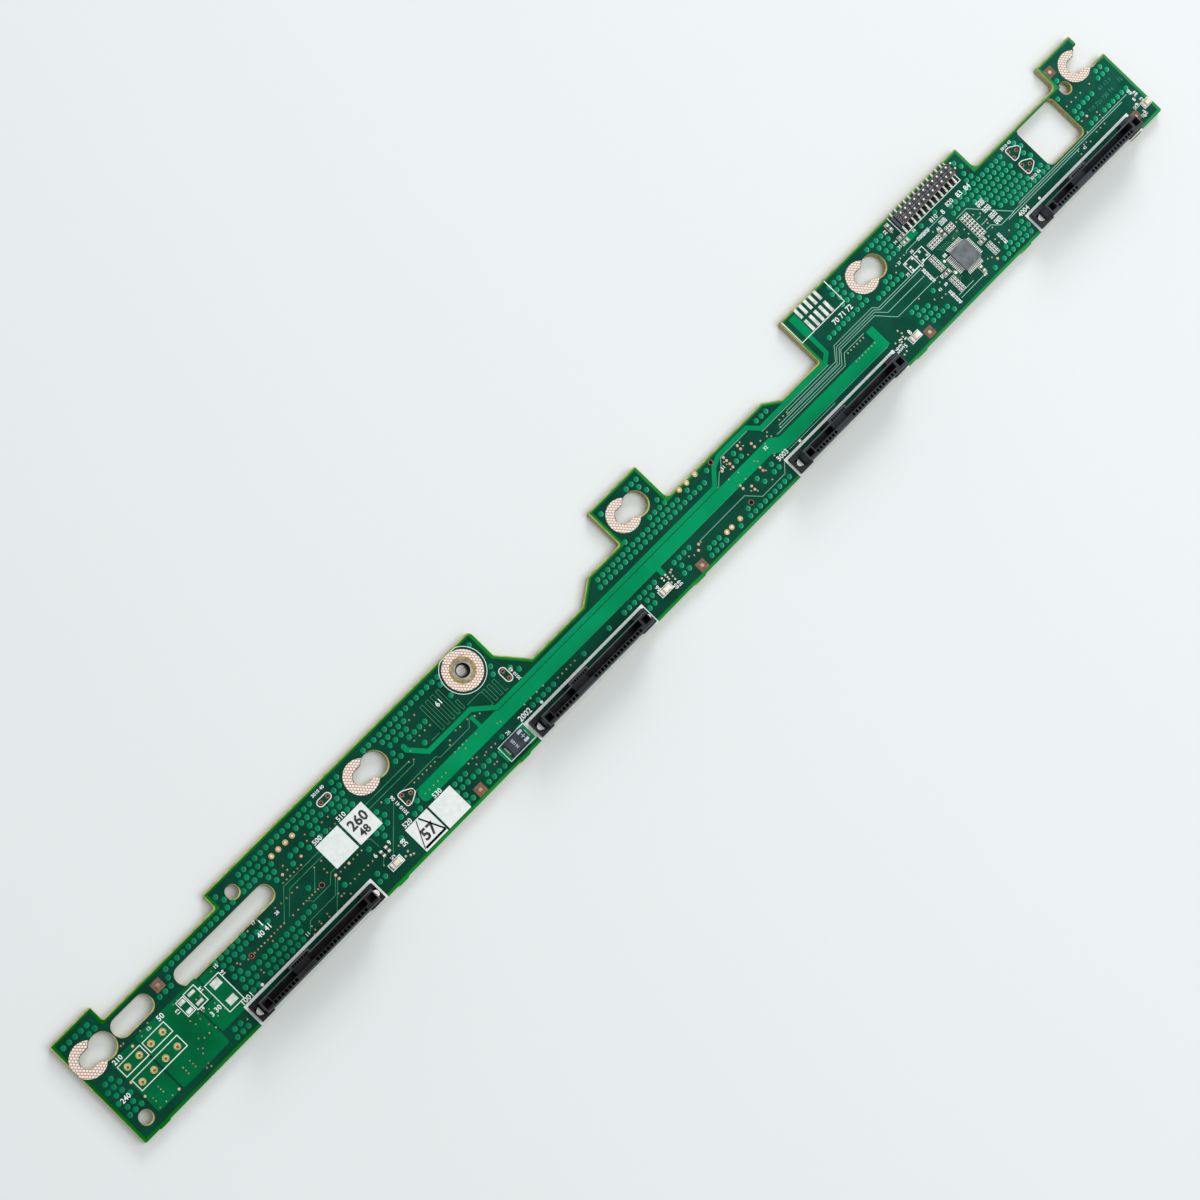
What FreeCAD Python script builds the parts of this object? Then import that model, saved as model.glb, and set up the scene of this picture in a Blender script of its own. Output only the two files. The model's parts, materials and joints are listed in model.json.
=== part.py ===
import FreeCAD
import Part
import math
import os

# Drive backplane board: a long printed circuit board with four vertical drive receptacles.
# Millimetres. The drawing frame has u along the board and w across it, both from the lower
# left corner, and z up from the underside. Every node is then moved so that the origin is
# under the middle of the board.

# How far a cut runs past the face that it opens, and the error within which two heights are one
OVER = 1.0
SAME_HEIGHT = 1e-6

# Length of a receptacle from the start of its bay, which follows from its last power contact
CONTACT_PITCH = 1.27
POWER_COUNT = 15
FIRST_POWER = 21.6
SLOT_MARGIN = 1.52
SLOT_END = FIRST_POWER + (POWER_COUNT - 1) * CONTACT_PITCH + SLOT_MARGIN
BLOCK_GAP = 0.6
RIGHT_BLOCK_LENGTH = 4.65
RIGHT_BLOCK_START = SLOT_END + BLOCK_GAP
RIGHT_BLOCK_END = RIGHT_BLOCK_START + RIGHT_BLOCK_LENGTH
TOWER_STEP = 2.0
TOWER_END = RIGHT_BLOCK_END - TOWER_STEP
OUTLINE_MARGIN = 0.9
OUTLINE_LENGTH = RIGHT_BLOCK_END + OUTLINE_MARGIN

# Drive bays: the lower left corner of each receptacle's printed outline starts its bay
RECEPTACLE_COUNT = 4
DRIVE_PITCH = 106.2
FIRST_RECEPTACLE = 41.75
BAY_1 = FIRST_RECEPTACLE + DRIVE_PITCH
BAY_2 = FIRST_RECEPTACLE + 2 * DRIVE_PITCH
BAY_3 = FIRST_RECEPTACLE + 3 * DRIVE_PITCH
OUTLINE_WIDTH = 6.8
OUTLINE_LINE = 0.8

# Board
END_MARGIN = 9.0
BOARD_LENGTH = BAY_3 + OUTLINE_LENGTH + END_MARGIN
BOARD_WIDTH = 35.15
BOARD_THICKNESS = 2.36
CORNER_FLAT = 0.4
INNER_CORNER_R = 0.8
LARGE_INNER_R = 1.8

# Upper edge, from left to right, each place measured from the bay or the board's end beside it
LEFT_TAB_END = 14.35
LEFT_NOTCH_FLOOR = 30.4
LEFT_NOTCH_END = 54.7
GUIDE_TAB_END = BAY_1 + 7.45
GUIDE_TAB_KNEE = 25.75
GUIDE_TAB_CORNER_R = 1.6
DEEP_NOTCH_START = BAY_1 + 14.4
DEEP_NOTCH_FLOOR = 17.75
DEEP_NOTCH_END = BAY_1 + 34.65
DEEP_STEP_START = BAY_1 + 41.85
DEEP_STEP_FLOOR = 22.65
MIDDLE_TAB_START = BAY_1 + 54.85
MIDDLE_TAB_END = BAY_1 + 74.15
STEP_RAMP_START = BAY_2 + 7.4
STEP_RAMP_END = BAY_2 + 12.6
STEP_FLOOR = 19.2
HEADER_TAB_START = BAY_2 + 28.65
HEADER_TAB_END = BAY_3 - 0.25
RIGHT_NOTCH_FLOOR = 27.2
HOOK_START = BOARD_LENGTH - 19.3
HOOK_LENGTH = 15.2
HOOK_END = HOOK_START + HOOK_LENGTH
HOOK_TIP_FLOOR = 31.75
HOOK_LIP = 2.0
HOOK_MOUTH = HOOK_END - HOOK_LIP
SHOULDER = 24.25

# Marks an outline corner that is broken by a flat instead of an arc
FLAT = None

# Stubs left where the board was broken out of its panel
STUB_REACH = 0.3
STUB_LENGTH = 4.0
STUB_TAPER = 0.5
STUB_PLACES = (
    7.0,
    BAY_1 - 53.25,
    BAY_1 - 6.25,
    BAY_1 + 64.45,
    BAY_2 + 53.05,
    BAY_3 - 6.55,
    BOARD_LENGTH - 11.6,
)

# Round holes, slots and window
SCREW_HOLE_R = 1.9
SCREW_HOLES = ((4.7, 4.85), (60.8, 30.25), (HOOK_START + 2.2, 25.0))
SHORT_SLOT_R = 2.75
SHORT_SLOT_START = 16.5
SHORT_SLOT_END = 24.1
SHORT_SLOT_W = 25.8
LONG_SLOT_R = 2.65
LONG_SLOT_START = 37.05
LONG_SLOT_END = 66.1
LONG_SLOT_W = 23.8
WINDOW_START = BOARD_LENGTH - 38.8
WINDOW_LENGTH = 16.1
WINDOW_END = WINDOW_START + WINDOW_LENGTH
WINDOW_FLOOR = 11.7
WINDOW_TOP = 26.4
WINDOW_R = 1.9

# Keyholes: the small end is to the left of the large end
KEYHOLE_SMALL_R = 2.35
KEYHOLE_LARGE_R = 3.7
KEYHOLE_TRAVEL = 4.9
KEYHOLE_W = 27.6
KEYHOLES = (
    (4.7, 25.6),
    (BAY_1 - 41.55, KEYHOLE_W),
    (MIDDLE_TAB_START + 6.75, KEYHOLE_W),
    (BAY_2 + 56.5, KEYHOLE_W),
    (HOOK_MOUTH - 3.85, KEYHOLE_W),
)

# Foil and print stand this proud of the board
FOIL_THICKNESS = 0.06

# Guide bush and pin
GUIDE_PLACE = (GUIDE_TAB_END - 8.9, 28.65)
GUIDE_BUSH_R = 2.95
GUIDE_FIT = 0.02
GUIDE_BORE_R = 2.1
GUIDE_FLOOR = 0.6
GUIDE_PIN_R = 1.4
GUIDE_PIN_DROP = 0.35
GUIDE_NOSE = 0.45
GUIDE_NOSE_R = 0.8

# Drive receptacles, measured from the start of their bay
END_BLOCK_HEIGHT = 2.2
END_BLOCK_FLOOR = 0.4
END_BLOCK_TOP = 5.75
LEFT_BLOCK_START = 0.75
LEFT_BLOCK_END = 5.2
TOWER_HEIGHT = 7.9
TOWER_START = 2.95
TOWER_FLOOR = 0.95
TOWER_TOP = 4.7
TOWER_CHAMFER = 0.25
SLOT_START = 5.85
SLOT_FLOOR_W = 2.5
SLOT_TOP_W = 4.3
SLOT_BOTTOM_Z = 1.6
KEY_POCKET_LENGTH = 2.2
KEY_POCKET_WALL = 0.35
KEY_POCKET_FLOOR_W = 1.9
KEY_POCKET_TOP_W = 3.9
KEY_POCKET_DEPTH = 5.0
SIDE_RIB_START = 14.6
SIDE_RIB_END = 21.6
SIDE_RIB_WIDTH = 0.95
CENTRE_KEY_START = 15.1
CENTRE_KEY_END = 20.4
CENTRE_KEY_DROP = 2.2

# Contacts
FINE_PITCH = 0.8
SIGNAL_COUNT = 7
FINE_COUNT = 7
FIRST_SIGNAL = 6.35
FIRST_FINE = 15.75
POCKET_WIDTH = 0.8
POCKET_DEPTH_W = 0.95
POCKET_W = 1.3
FINE_POCKET_WIDTH = 0.45
FINE_POCKET_DEPTH_W = 0.7
FINE_POCKET_W = 4.55
POCKET_CLEARANCE = 0.12
POCKET_FLOOR = 0.4
CONTACT_GAUGE = 0.2
CONTACT_DROP = 0.5
CONTACT_SPRING_REACH = 0.45
CONTACT_SPRING_HEIGHT = 4.5

# Metal hold-downs in the end blocks
HOLD_DOWN_WIDTH = 2.2
HOLD_DOWN_W = 3.1
HOLD_DOWN_GAUGE = 0.3
HOLD_DOWN_FOOT = 1.2
HOLD_DOWN_CLEARANCE = 0.15
LEFT_HOLD_DOWN = 2.45
HOLD_DOWN_INSET = 1.5
RIGHT_HOLD_DOWN = RIGHT_BLOCK_END - HOLD_DOWN_INSET

# Two-row pin header
HEADER_COLUMNS = 12
HEADER_PITCH = 2.0
HEADER_PLACE = (HEADER_TAB_END - 18.4, 31.75)
HEADER_DEPTH = 4.0
HEADER_HEIGHT = 2.0
HEADER_NOTCH = 0.3
HEADER_PIN = 0.5
HEADER_PIN_TIP = 6.1
HEADER_PIN_HOLE_CLEARANCE = 0.02
HEADER_LEAD_SPAN = 3.3
HEADER_LEAD_GAUGE = 0.35
HEADER_STANDOFF = HEADER_LEAD_GAUGE + HEADER_PIN_HOLE_CLEARANCE

# Controller chip, a flat pack with leads on four sides
CHIP_U = BAY_3 - 22.45
CHIP_W = 11.15
CHIP_PLACE = (CHIP_U, CHIP_W)
CHIP_BODY = 7.0
CHIP_HEIGHT = 1.4
CHIP_STANDOFF = 0.1
CHIP_SHOULDER = 0.9
CHIP_DRAFT = 0.15
CHIP_LEADS = 12
CHIP_LEAD_PITCH = 0.5
CHIP_LEAD_WIDTH = 0.25
CHIP_LEAD_GAUGE = 0.15
CHIP_LEAD_SPAN = 5.05
CHIP_FOOT = 0.9

# Bulk capacitor
CAPACITOR_PLACE = (BAY_1 - 5.35, 4.5)
CAPACITOR_LENGTH = 7.3
CAPACITOR_WIDTH = 4.3
CAPACITOR_HEIGHT = 2.8
CAPACITOR_CHAMFER = 0.35
CAPACITOR_TERMINAL_WIDTH = 2.4
CAPACITOR_TERMINAL_GAUGE = 0.2
CAPACITOR_TERMINAL_HEIGHT = 1.5

# Drive lights
LED_W = 4.75
LED_STEP = 54.9
LED_PLACES = (FIRST_RECEPTACLE + LED_STEP, BAY_1 + LED_STEP, BAY_2 + LED_STEP, BOARD_LENGTH - 1.8)
LED_LENGTH = 3.2
LED_WIDTH = 1.6
LED_BASE_HEIGHT = 0.5
LED_LENS_LENGTH = 1.9
LED_LENS_HEIGHT = 0.6
LED_LENS_TAPER = 0.15

# Small chips: resistors and ceramic capacitors
RESISTOR_LENGTH = 1.0
RESISTOR_WIDTH = 0.5
RESISTOR_HEIGHT = 0.35
CERAMIC_LENGTH = 1.6
CERAMIC_WIDTH = 0.8
CERAMIC_HEIGHT = 0.75
RESISTOR_PITCH = 1.05
RESISTOR_GRID_PITCH = 2.03
RESISTOR_COLUMNS = (
    (CHIP_U - 7.85, CHIP_W + 1.85),
    (CHIP_U - 7.9, CHIP_W - 6.3),
    (CHIP_U + 7.95, CHIP_W - 5.85),
)
RESISTOR_COLUMN_COUNTS = (5, 5, 4)
RESISTOR_GRID = (CHIP_U + 7.55, CHIP_W + 1.35)
RESISTOR_GRID_COUNTS = (3, 4)
RESISTOR_ROWS = ((CHIP_U - 5.6, CHIP_W + 8.75), (CHIP_U + 2.0, CHIP_W + 8.7))
RESISTOR_ROW_COUNTS = (5, 3)
LIGHT_RESISTORS_ACROSS = (
    (LED_PLACES[1] + 1.5, LED_W + 2.6),
    (LED_PLACES[1] + 2.9, LED_W + 2.6),
    (LED_PLACES[2] - 2.9, LED_W + 2.1),
    (LED_PLACES[2] - 4.3, LED_W + 2.1),
)
LIGHT_RESISTORS_ALONG = ((LED_PLACES[3] - 3.3, LED_W + 1.3), (LED_PLACES[3] - 3.3, LED_W - 2.0))
CERAMICS_ALONG = (
    (CHIP_U - 7.8, CHIP_W + 0.05),
    (CHIP_U + 7.15, CHIP_W - 0.65),
    (CHIP_U - 9.7, CHIP_W + 16.85),
    (CHIP_U - 9.85, CHIP_W + 15.0),
)
CERAMICS_ACROSS = (
    (CHIP_U + 0.85, CHIP_W - 6.35),
    (CHIP_U + 0.15, CHIP_W + 9.05),
    (CHIP_U - 10.4, CHIP_W + 21.15),
    (LED_PLACES[0] - 0.95, LED_W + 4.35),
    (LED_PLACES[0] + 0.9, LED_W + 4.35),
)

# Plated holes of the power inlet
BARREL_SIDES = 8
BARREL_BORE_R = 0.65
BARREL_R = 0.95
POWER_PITCH = 4.15
POWER_ROW_PITCH = 5.4
POWER_FIRST = (10.4, 11.8)
POWER_COLUMNS = 4
POWER_ROWS = 2

# Main bus foil: brighter field along the board, with a low far half, an arm and two stubs
BUS_FLOOR = 10.35
BUS_TOP = 14.65
BUS_UPPER_STEP = 0.5
BUS_START = BAY_1 - 34.4
BUS_UPPER_STEP_U = BAY_1 - 2.6
BUS_STEP_U = BAY_2 - 0.95
BUS_STEP_RUN = 2.5
BUS_DROP = 1.9
BUS_END = BAY_2 + 47.85
BUS_ARM_WIDTH = 2.75
BUS_ARM_TOP = 15.75
BUS_UP_STUB_U = BAY_1 - 9.6
BUS_UP_STUB_WIDTH = 1.1
BUS_UP_STUB_TOP = 18.3
BUS_DOWN_STUB_U = BAY_1 + 56.9
BUS_DOWN_STUB_WIDTH = 1.55
BUS_DOWN_STUB_FLOOR = 8.1

# Second bus foil: a narrow track beside the main one, from a pad near the guide to the header tab
SECOND_BUS_WIDTH = 1.4
SECOND_BUS_GAP = 0.2
SECOND_BUS_W = BUS_TOP - BUS_UPPER_STEP + SECOND_BUS_GAP + SECOND_BUS_WIDTH / 2
SECOND_BUS_PAD = 2.0
SECOND_BUS_ROUTE = (
    (BAY_1 - 27.8, 26.6),
    (BAY_1 - 27.8, 24.1),
    (BAY_1 - 23.85, 19.65),
    (BAY_1 - 7.6, 19.65),
    (BAY_1 - 2.2, SECOND_BUS_W),
    (BAY_2 - 20.1, SECOND_BUS_W),
    (BAY_2 - 16.1, 19.2),
    (BAY_2 - 12.7, 20.65),
    (BAY_2 - 0.95, 20.65),
    (BAY_2 + 2.0, 17.7),
    (BAY_2 + 29.55, 17.7),
    (BAY_2 + 32.2, 19.65),
    (BAY_2 + 32.2, 33.8),
)

# Printed squares
SQUARE_SIDE = 8.2
SQUARE_PLACES = ((BAY_1 - 59.4, 18.9), (BAY_1 - 50.45, 18.9), (BAY_1 - 39.4, 5.15), (BAY_1 - 30.55, 5.15))

TOP = BOARD_THICKNESS
ORIGIN = FreeCAD.Vector(-BOARD_LENGTH / 2, -(BOARD_WIDTH - STUB_REACH) / 2, 0)


def vec(u, w, z=0.0):
    return FreeCAD.Vector(u, w, z)


def box(u0, u1, w0, w1, z0, z1):
    """Block between two corners."""
    return Part.makeBox(u1 - u0, w1 - w0, z1 - z0, vec(u0, w0, z0))


def rod(u, w, radius, z0, z1):
    """Upright cylinder."""
    return Part.makeCylinder(radius, z1 - z0, vec(u, w, z0))


def prism(points, z0, z1):
    """Upright prism on a polygon of (u, w) points."""
    ring = [vec(u, w, z0) for u, w in points]
    wire = Part.makePolygon(ring + ring[:1])
    return Part.Face(wire).extrude(vec(0, 0, z1 - z0))


def many_sided(u, w, radius, sides, z0, z1):
    """Upright prism on a regular polygon that touches a circle of the given radius from outside."""
    corner_r = radius / math.cos(math.pi / sides)
    angles = [2 * math.pi * (i + 0.5) / sides for i in range(sides)]
    return prism([(u + corner_r * math.cos(a), w + corner_r * math.sin(a)) for a in angles], z0, z1)


def broken_corner(before, here, after, radius):
    """Edge that breaks one corner, an arc or a small flat, with its two ends."""
    back = (before - here).normalize()
    ahead = (after - here).normalize()
    if radius is FLAT:
        start = here + back * CORNER_FLAT
        end = here + ahead * CORNER_FLAT
        return start, Part.LineSegment(start, end).toShape(), end
    half = back.getAngle(ahead) / 2
    start = here + back * (radius / math.tan(half))
    end = here + ahead * (radius / math.tan(half))
    top = here + (back + ahead).normalize() * (radius / math.sin(half) - radius)
    return start, Part.Arc(start, top, end).toShape(), end


def rounded_face(corners, z):
    """Face inside a closed outline of (u, w, radius) corners."""
    points = [vec(u, w, z) for u, w, radius in corners]
    after = points[1:] + points[:1]
    before = points[-1:] + points[:-1]
    cuts = [broken_corner(b, p, a, c[2]) for b, p, a, c in zip(before, points, after, corners)]
    edges = []
    for here, following in zip(cuts, cuts[1:] + cuts[:1]):
        edges.append(here[1])
        edges.append(Part.LineSegment(here[2], following[0]).toShape())
    return Part.Face(Part.Wire(edges))


def slot_prism(u0, u1, w, radius, z0, z1):
    """Round-ended slot along the board."""
    body = box(u0, u1, w - radius, w + radius, z0, z1)
    return body.fuse([rod(u0, w, radius, z0, z1), rod(u1, w, radius, z0, z1)]).removeSplitter()


def board_corners():
    """Outline of the board, anticlockwise from the lower left corner."""
    return [
        (0, 0, FLAT),
        (BOARD_LENGTH, 0, FLAT),
        (BOARD_LENGTH, SHOULDER, FLAT),
        (HOOK_MOUTH, SHOULDER, FLAT),
        (HOOK_MOUTH, HOOK_TIP_FLOOR, FLAT),
        (HOOK_END, HOOK_TIP_FLOOR, FLAT),
        (HOOK_END, BOARD_WIDTH, FLAT),
        (HOOK_START, BOARD_WIDTH, FLAT),
        (HOOK_START, RIGHT_NOTCH_FLOOR, LARGE_INNER_R),
        (HEADER_TAB_END, RIGHT_NOTCH_FLOOR, LARGE_INNER_R),
        (HEADER_TAB_END, BOARD_WIDTH, FLAT),
        (HEADER_TAB_START, BOARD_WIDTH, FLAT),
        (HEADER_TAB_START, STEP_FLOOR, INNER_CORNER_R),
        (STEP_RAMP_END, STEP_FLOOR, INNER_CORNER_R),
        (STEP_RAMP_START, DEEP_STEP_FLOOR, INNER_CORNER_R),
        (MIDDLE_TAB_END, DEEP_STEP_FLOOR, LARGE_INNER_R),
        (MIDDLE_TAB_END, BOARD_WIDTH, FLAT),
        (MIDDLE_TAB_START, BOARD_WIDTH, FLAT),
        (MIDDLE_TAB_START, DEEP_STEP_FLOOR, FLAT),
        (DEEP_STEP_START, DEEP_STEP_FLOOR, INNER_CORNER_R),
        (DEEP_NOTCH_END, DEEP_NOTCH_FLOOR, INNER_CORNER_R),
        (DEEP_NOTCH_START, DEEP_NOTCH_FLOOR, INNER_CORNER_R),
        (GUIDE_TAB_END, GUIDE_TAB_KNEE, INNER_CORNER_R),
        (GUIDE_TAB_END, BOARD_WIDTH, GUIDE_TAB_CORNER_R),
        (LEFT_NOTCH_END, BOARD_WIDTH, FLAT),
        (LEFT_NOTCH_END, LEFT_NOTCH_FLOOR, INNER_CORNER_R),
        (LEFT_TAB_END, LEFT_NOTCH_FLOOR, FLAT),
        (LEFT_TAB_END, BOARD_WIDTH, FLAT),
        (0, BOARD_WIDTH, FLAT),
    ]


def keyhole(u, w, z0, z1):
    """Keyhole cut: a narrow end for the stud's neck and a wide end for its head."""
    neck = slot_prism(u, u + KEYHOLE_TRAVEL, w, KEYHOLE_SMALL_R, z0, z1)
    return neck.fuse(rod(u + KEYHOLE_TRAVEL, w, KEYHOLE_LARGE_R, z0, z1)).removeSplitter()


def stub(u):
    """Tapered stub under the lower edge."""
    half = STUB_LENGTH / 2
    tip = half - STUB_TAPER
    points = ((u - half, 0), (u - tip, -STUB_REACH), (u + tip, -STUB_REACH), (u + half, 0))
    return prism(points, 0, BOARD_THICKNESS)


def power_places():
    """Centres of the power inlet's plated holes."""
    u0, w0 = POWER_FIRST
    columns = [u0 + i * POWER_PITCH for i in range(POWER_COLUMNS)]
    rows = [w0 + j * POWER_ROW_PITCH for j in range(POWER_ROWS)]
    return [(u, w) for w in rows for u in columns]


def window_prism(z0, z1):
    """Rounded square window."""
    corners = [
        (WINDOW_START, WINDOW_FLOOR, WINDOW_R),
        (WINDOW_END, WINDOW_FLOOR, WINDOW_R),
        (WINDOW_END, WINDOW_TOP, WINDOW_R),
        (WINDOW_START, WINDOW_TOP, WINDOW_R),
    ]
    return rounded_face(corners, z0).extrude(vec(0, 0, z1 - z0))


def board():
    """Laminate with its outline, slots, window, keyholes and drilled holes."""
    low = -OVER
    high = BOARD_THICKNESS + OVER
    body = rounded_face(board_corners(), 0).extrude(vec(0, 0, BOARD_THICKNESS))
    body = body.fuse([stub(u) for u in STUB_PLACES])
    cuts = [rod(u, w, SCREW_HOLE_R, low, high) for u, w in SCREW_HOLES]
    cuts += [keyhole(u, w, low, high) for u, w in KEYHOLES]
    cuts.append(slot_prism(SHORT_SLOT_START, SHORT_SLOT_END, SHORT_SLOT_W, SHORT_SLOT_R, low, high))
    cuts.append(slot_prism(LONG_SLOT_START, LONG_SLOT_END, LONG_SLOT_W, LONG_SLOT_R, low, high))
    cuts.append(window_prism(low, high))
    cuts.append(rod(GUIDE_PLACE[0], GUIDE_PLACE[1], GUIDE_BUSH_R + GUIDE_FIT, low, high))
    cuts += [many_sided(u, w, BARREL_R, BARREL_SIDES, low, high) for u, w in power_places()]
    return body.cut(cuts).removeSplitter()


def barrel(u, w):
    """Plated hole: a tube through the board whose top stands proud as its land."""
    tube = many_sided(u, w, BARREL_R, BARREL_SIDES, 0, TOP + FOIL_THICKNESS)
    return tube.cut(many_sided(u, w, BARREL_BORE_R, BARREL_SIDES, -OVER, TOP + OVER))


def plated_barrels():
    return Part.makeCompound([barrel(u, w) for u, w in power_places()])


def guide_bush():
    """Closed-bottom bush pressed into the board, flush with both faces."""
    u, w = GUIDE_PLACE
    return rod(u, w, GUIDE_BUSH_R, 0, TOP).cut(rod(u, w, GUIDE_BORE_R, GUIDE_FLOOR, TOP + OVER))


def guide_pin():
    """Pin with a tapered nose that stands on the floor of the bush."""
    u, w = GUIDE_PLACE
    top = TOP - GUIDE_PIN_DROP
    shoulder = top - GUIDE_NOSE
    nose = Part.makeCone(GUIDE_PIN_R, GUIDE_NOSE_R, GUIDE_NOSE, vec(u, w, shoulder))
    return rod(u, w, GUIDE_PIN_R, GUIDE_FLOOR, shoulder).fuse(nose).removeSplitter()


def contact_places(first, count, pitch):
    return [first + i * pitch for i in range(count)]


def contact_rows():
    """Each row of contacts as its places, pocket width, pocket depth and the w where its pockets start."""
    wide = contact_places(FIRST_SIGNAL, SIGNAL_COUNT, CONTACT_PITCH)
    power = contact_places(FIRST_POWER, POWER_COUNT, CONTACT_PITCH)
    fine = contact_places(FIRST_FINE, FINE_COUNT, FINE_PITCH)
    return {
        "signal": (wide, POCKET_WIDTH, POCKET_DEPTH_W, POCKET_W),
        "power": (power, POCKET_WIDTH, POCKET_DEPTH_W, POCKET_W),
        "fine": (fine, FINE_POCKET_WIDTH, FINE_POCKET_DEPTH_W, FINE_POCKET_W),
    }


def end_block(base, start, end):
    """Low block at one end of a receptacle, which takes a hold-down."""
    return box(base + start, base + end, END_BLOCK_FLOOR, END_BLOCK_TOP, TOP, TOP + END_BLOCK_HEIGHT)


def end_blocks(base):
    left = end_block(base, LEFT_BLOCK_START, LEFT_BLOCK_END)
    right = end_block(base, RIGHT_BLOCK_START, RIGHT_BLOCK_END)
    return [left, right]


def tower():
    """Upright body of a receptacle with its side rib and chamfered rim."""
    z0 = TOP
    z1 = TOP + TOWER_HEIGHT
    body = box(TOWER_START, TOWER_END, TOWER_FLOOR, TOWER_TOP, z0, z1)
    rib = box(SIDE_RIB_START, SIDE_RIB_END, TOWER_FLOOR, TOWER_TOP + SIDE_RIB_WIDTH, z0, z1)
    body = body.fuse(rib).removeSplitter()
    rim = [e for e in body.Edges if abs(e.BoundBox.ZMin - z1) < SAME_HEIGHT]
    return body.makeChamfer(TOWER_CHAMFER, rim)


def key_slot():
    """Long slot for the drive's tongue, less the key that stands in it."""
    z1 = TOP + TOWER_HEIGHT
    slot = box(SLOT_START, SLOT_END, SLOT_FLOOR_W, SLOT_TOP_W, TOP + SLOT_BOTTOM_Z, z1 + OVER)
    key = box(CENTRE_KEY_START, CENTRE_KEY_END, SLOT_FLOOR_W, SLOT_TOP_W, TOP, z1 - CENTRE_KEY_DROP)
    return slot.cut(key)


def key_pockets():
    """Blind pockets at both ends of the tower, which take the plug's guide ears."""
    z1 = TOP + TOWER_HEIGHT
    z0 = z1 - KEY_POCKET_DEPTH
    low = KEY_POCKET_FLOOR_W
    high = KEY_POCKET_TOP_W
    starts = (TOWER_START + KEY_POCKET_WALL, TOWER_END - KEY_POCKET_WALL - KEY_POCKET_LENGTH)
    return [box(u, u + KEY_POCKET_LENGTH, low, high, z0, z1 + OVER) for u in starts]


def contact_pockets():
    """One upright pocket for each contact, closed by the floor that the contact is seated in."""
    z0 = TOP + POCKET_FLOOR
    z1 = TOP + TOWER_HEIGHT + OVER
    pockets = []
    for places, width, depth, start in contact_rows().values():
        pockets += [box(u - width / 2, u + width / 2, start, start + depth, z0, z1) for u in places]
    return pockets


def hold_down_recesses():
    """Room round each hold-down and its solder foot."""
    half = HOLD_DOWN_WIDTH / 2 + HOLD_DOWN_CLEARANCE
    reach = HOLD_DOWN_FOOT + HOLD_DOWN_CLEARANCE
    plate = HOLD_DOWN_GAUGE + HOLD_DOWN_CLEARANCE
    low = HOLD_DOWN_W - half
    high = HOLD_DOWN_W + half
    z0 = TOP - OVER
    z1 = TOP + END_BLOCK_HEIGHT + OVER
    left = box(LEFT_HOLD_DOWN - reach, LEFT_HOLD_DOWN + plate, low, high, z0, z1)
    right = box(RIGHT_HOLD_DOWN - plate, RIGHT_HOLD_DOWN + reach, low, high, z0, z1)
    return [left, right]


def receptacle_housing(base):
    """Moulded tower with a key slot, contact pockets, end pockets and two low end blocks."""
    body = tower().fuse(end_blocks(0)).removeSplitter()
    body = body.cut([key_slot()] + key_pockets() + contact_pockets() + hold_down_recesses())
    body = body.removeSplitter()
    body.translate(vec(base, 0, 0))
    return body


def contact(u, width, start, depth, side):
    """Spring contact: an upright strip, bowed sideways and tapered to its foot and tip."""
    low = start + POCKET_CLEARANCE
    high = start + depth - POCKET_CLEARANCE
    back = low if side > 0 else high
    bow = back + side * min(CONTACT_SPRING_REACH, high - low - CONTACT_GAUGE)
    gauge = side * CONTACT_GAUGE
    spring = TOP + CONTACT_SPRING_HEIGHT
    outline = [
        vec(0, back, TOP + POCKET_FLOOR),
        vec(0, bow + gauge, spring),
        vec(0, back, TOP + TOWER_HEIGHT - CONTACT_DROP),
        vec(0, bow, spring),
    ]
    face = Part.Face(Part.makePolygon(outline + outline[:1]))
    strip = face.extrude(vec(width, 0, 0))
    strip.translate(vec(u - width / 2, 0, 0))
    return strip


def contact_group(base, names):
    """Contacts of one receptacle from the named rows."""
    strips = []
    rows = contact_rows()
    for name in names:
        places, width, depth, start = rows[name]
        side = -1 if name == "fine" else 1
        strips += [contact(base + u, width - 2 * POCKET_CLEARANCE, start, depth, side) for u in places]
    return Part.makeCompound(strips)


def hold_down(u, side):
    """Metal hold-down: an upright plate and a solder foot that points outwards."""
    low = HOLD_DOWN_W - HOLD_DOWN_WIDTH / 2
    high = HOLD_DOWN_W + HOLD_DOWN_WIDTH / 2
    inner = u - side * HOLD_DOWN_GAUGE
    outer = u + side * HOLD_DOWN_FOOT
    plate = box(min(u, inner), max(u, inner), low, high, TOP, TOP + END_BLOCK_HEIGHT)
    foot = box(min(u, outer), max(u, outer), low, high, TOP, TOP + HOLD_DOWN_GAUGE)
    return plate.fuse(foot).removeSplitter()


def hold_downs(base):
    return Part.makeCompound([hold_down(base + LEFT_HOLD_DOWN, -1), hold_down(base + RIGHT_HOLD_DOWN, 1)])


def header_columns():
    u, w = HEADER_PLACE
    first = u - (HEADER_COLUMNS - 1) / 2 * HEADER_PITCH
    return [first + i * HEADER_PITCH for i in range(HEADER_COLUMNS)]


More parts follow.
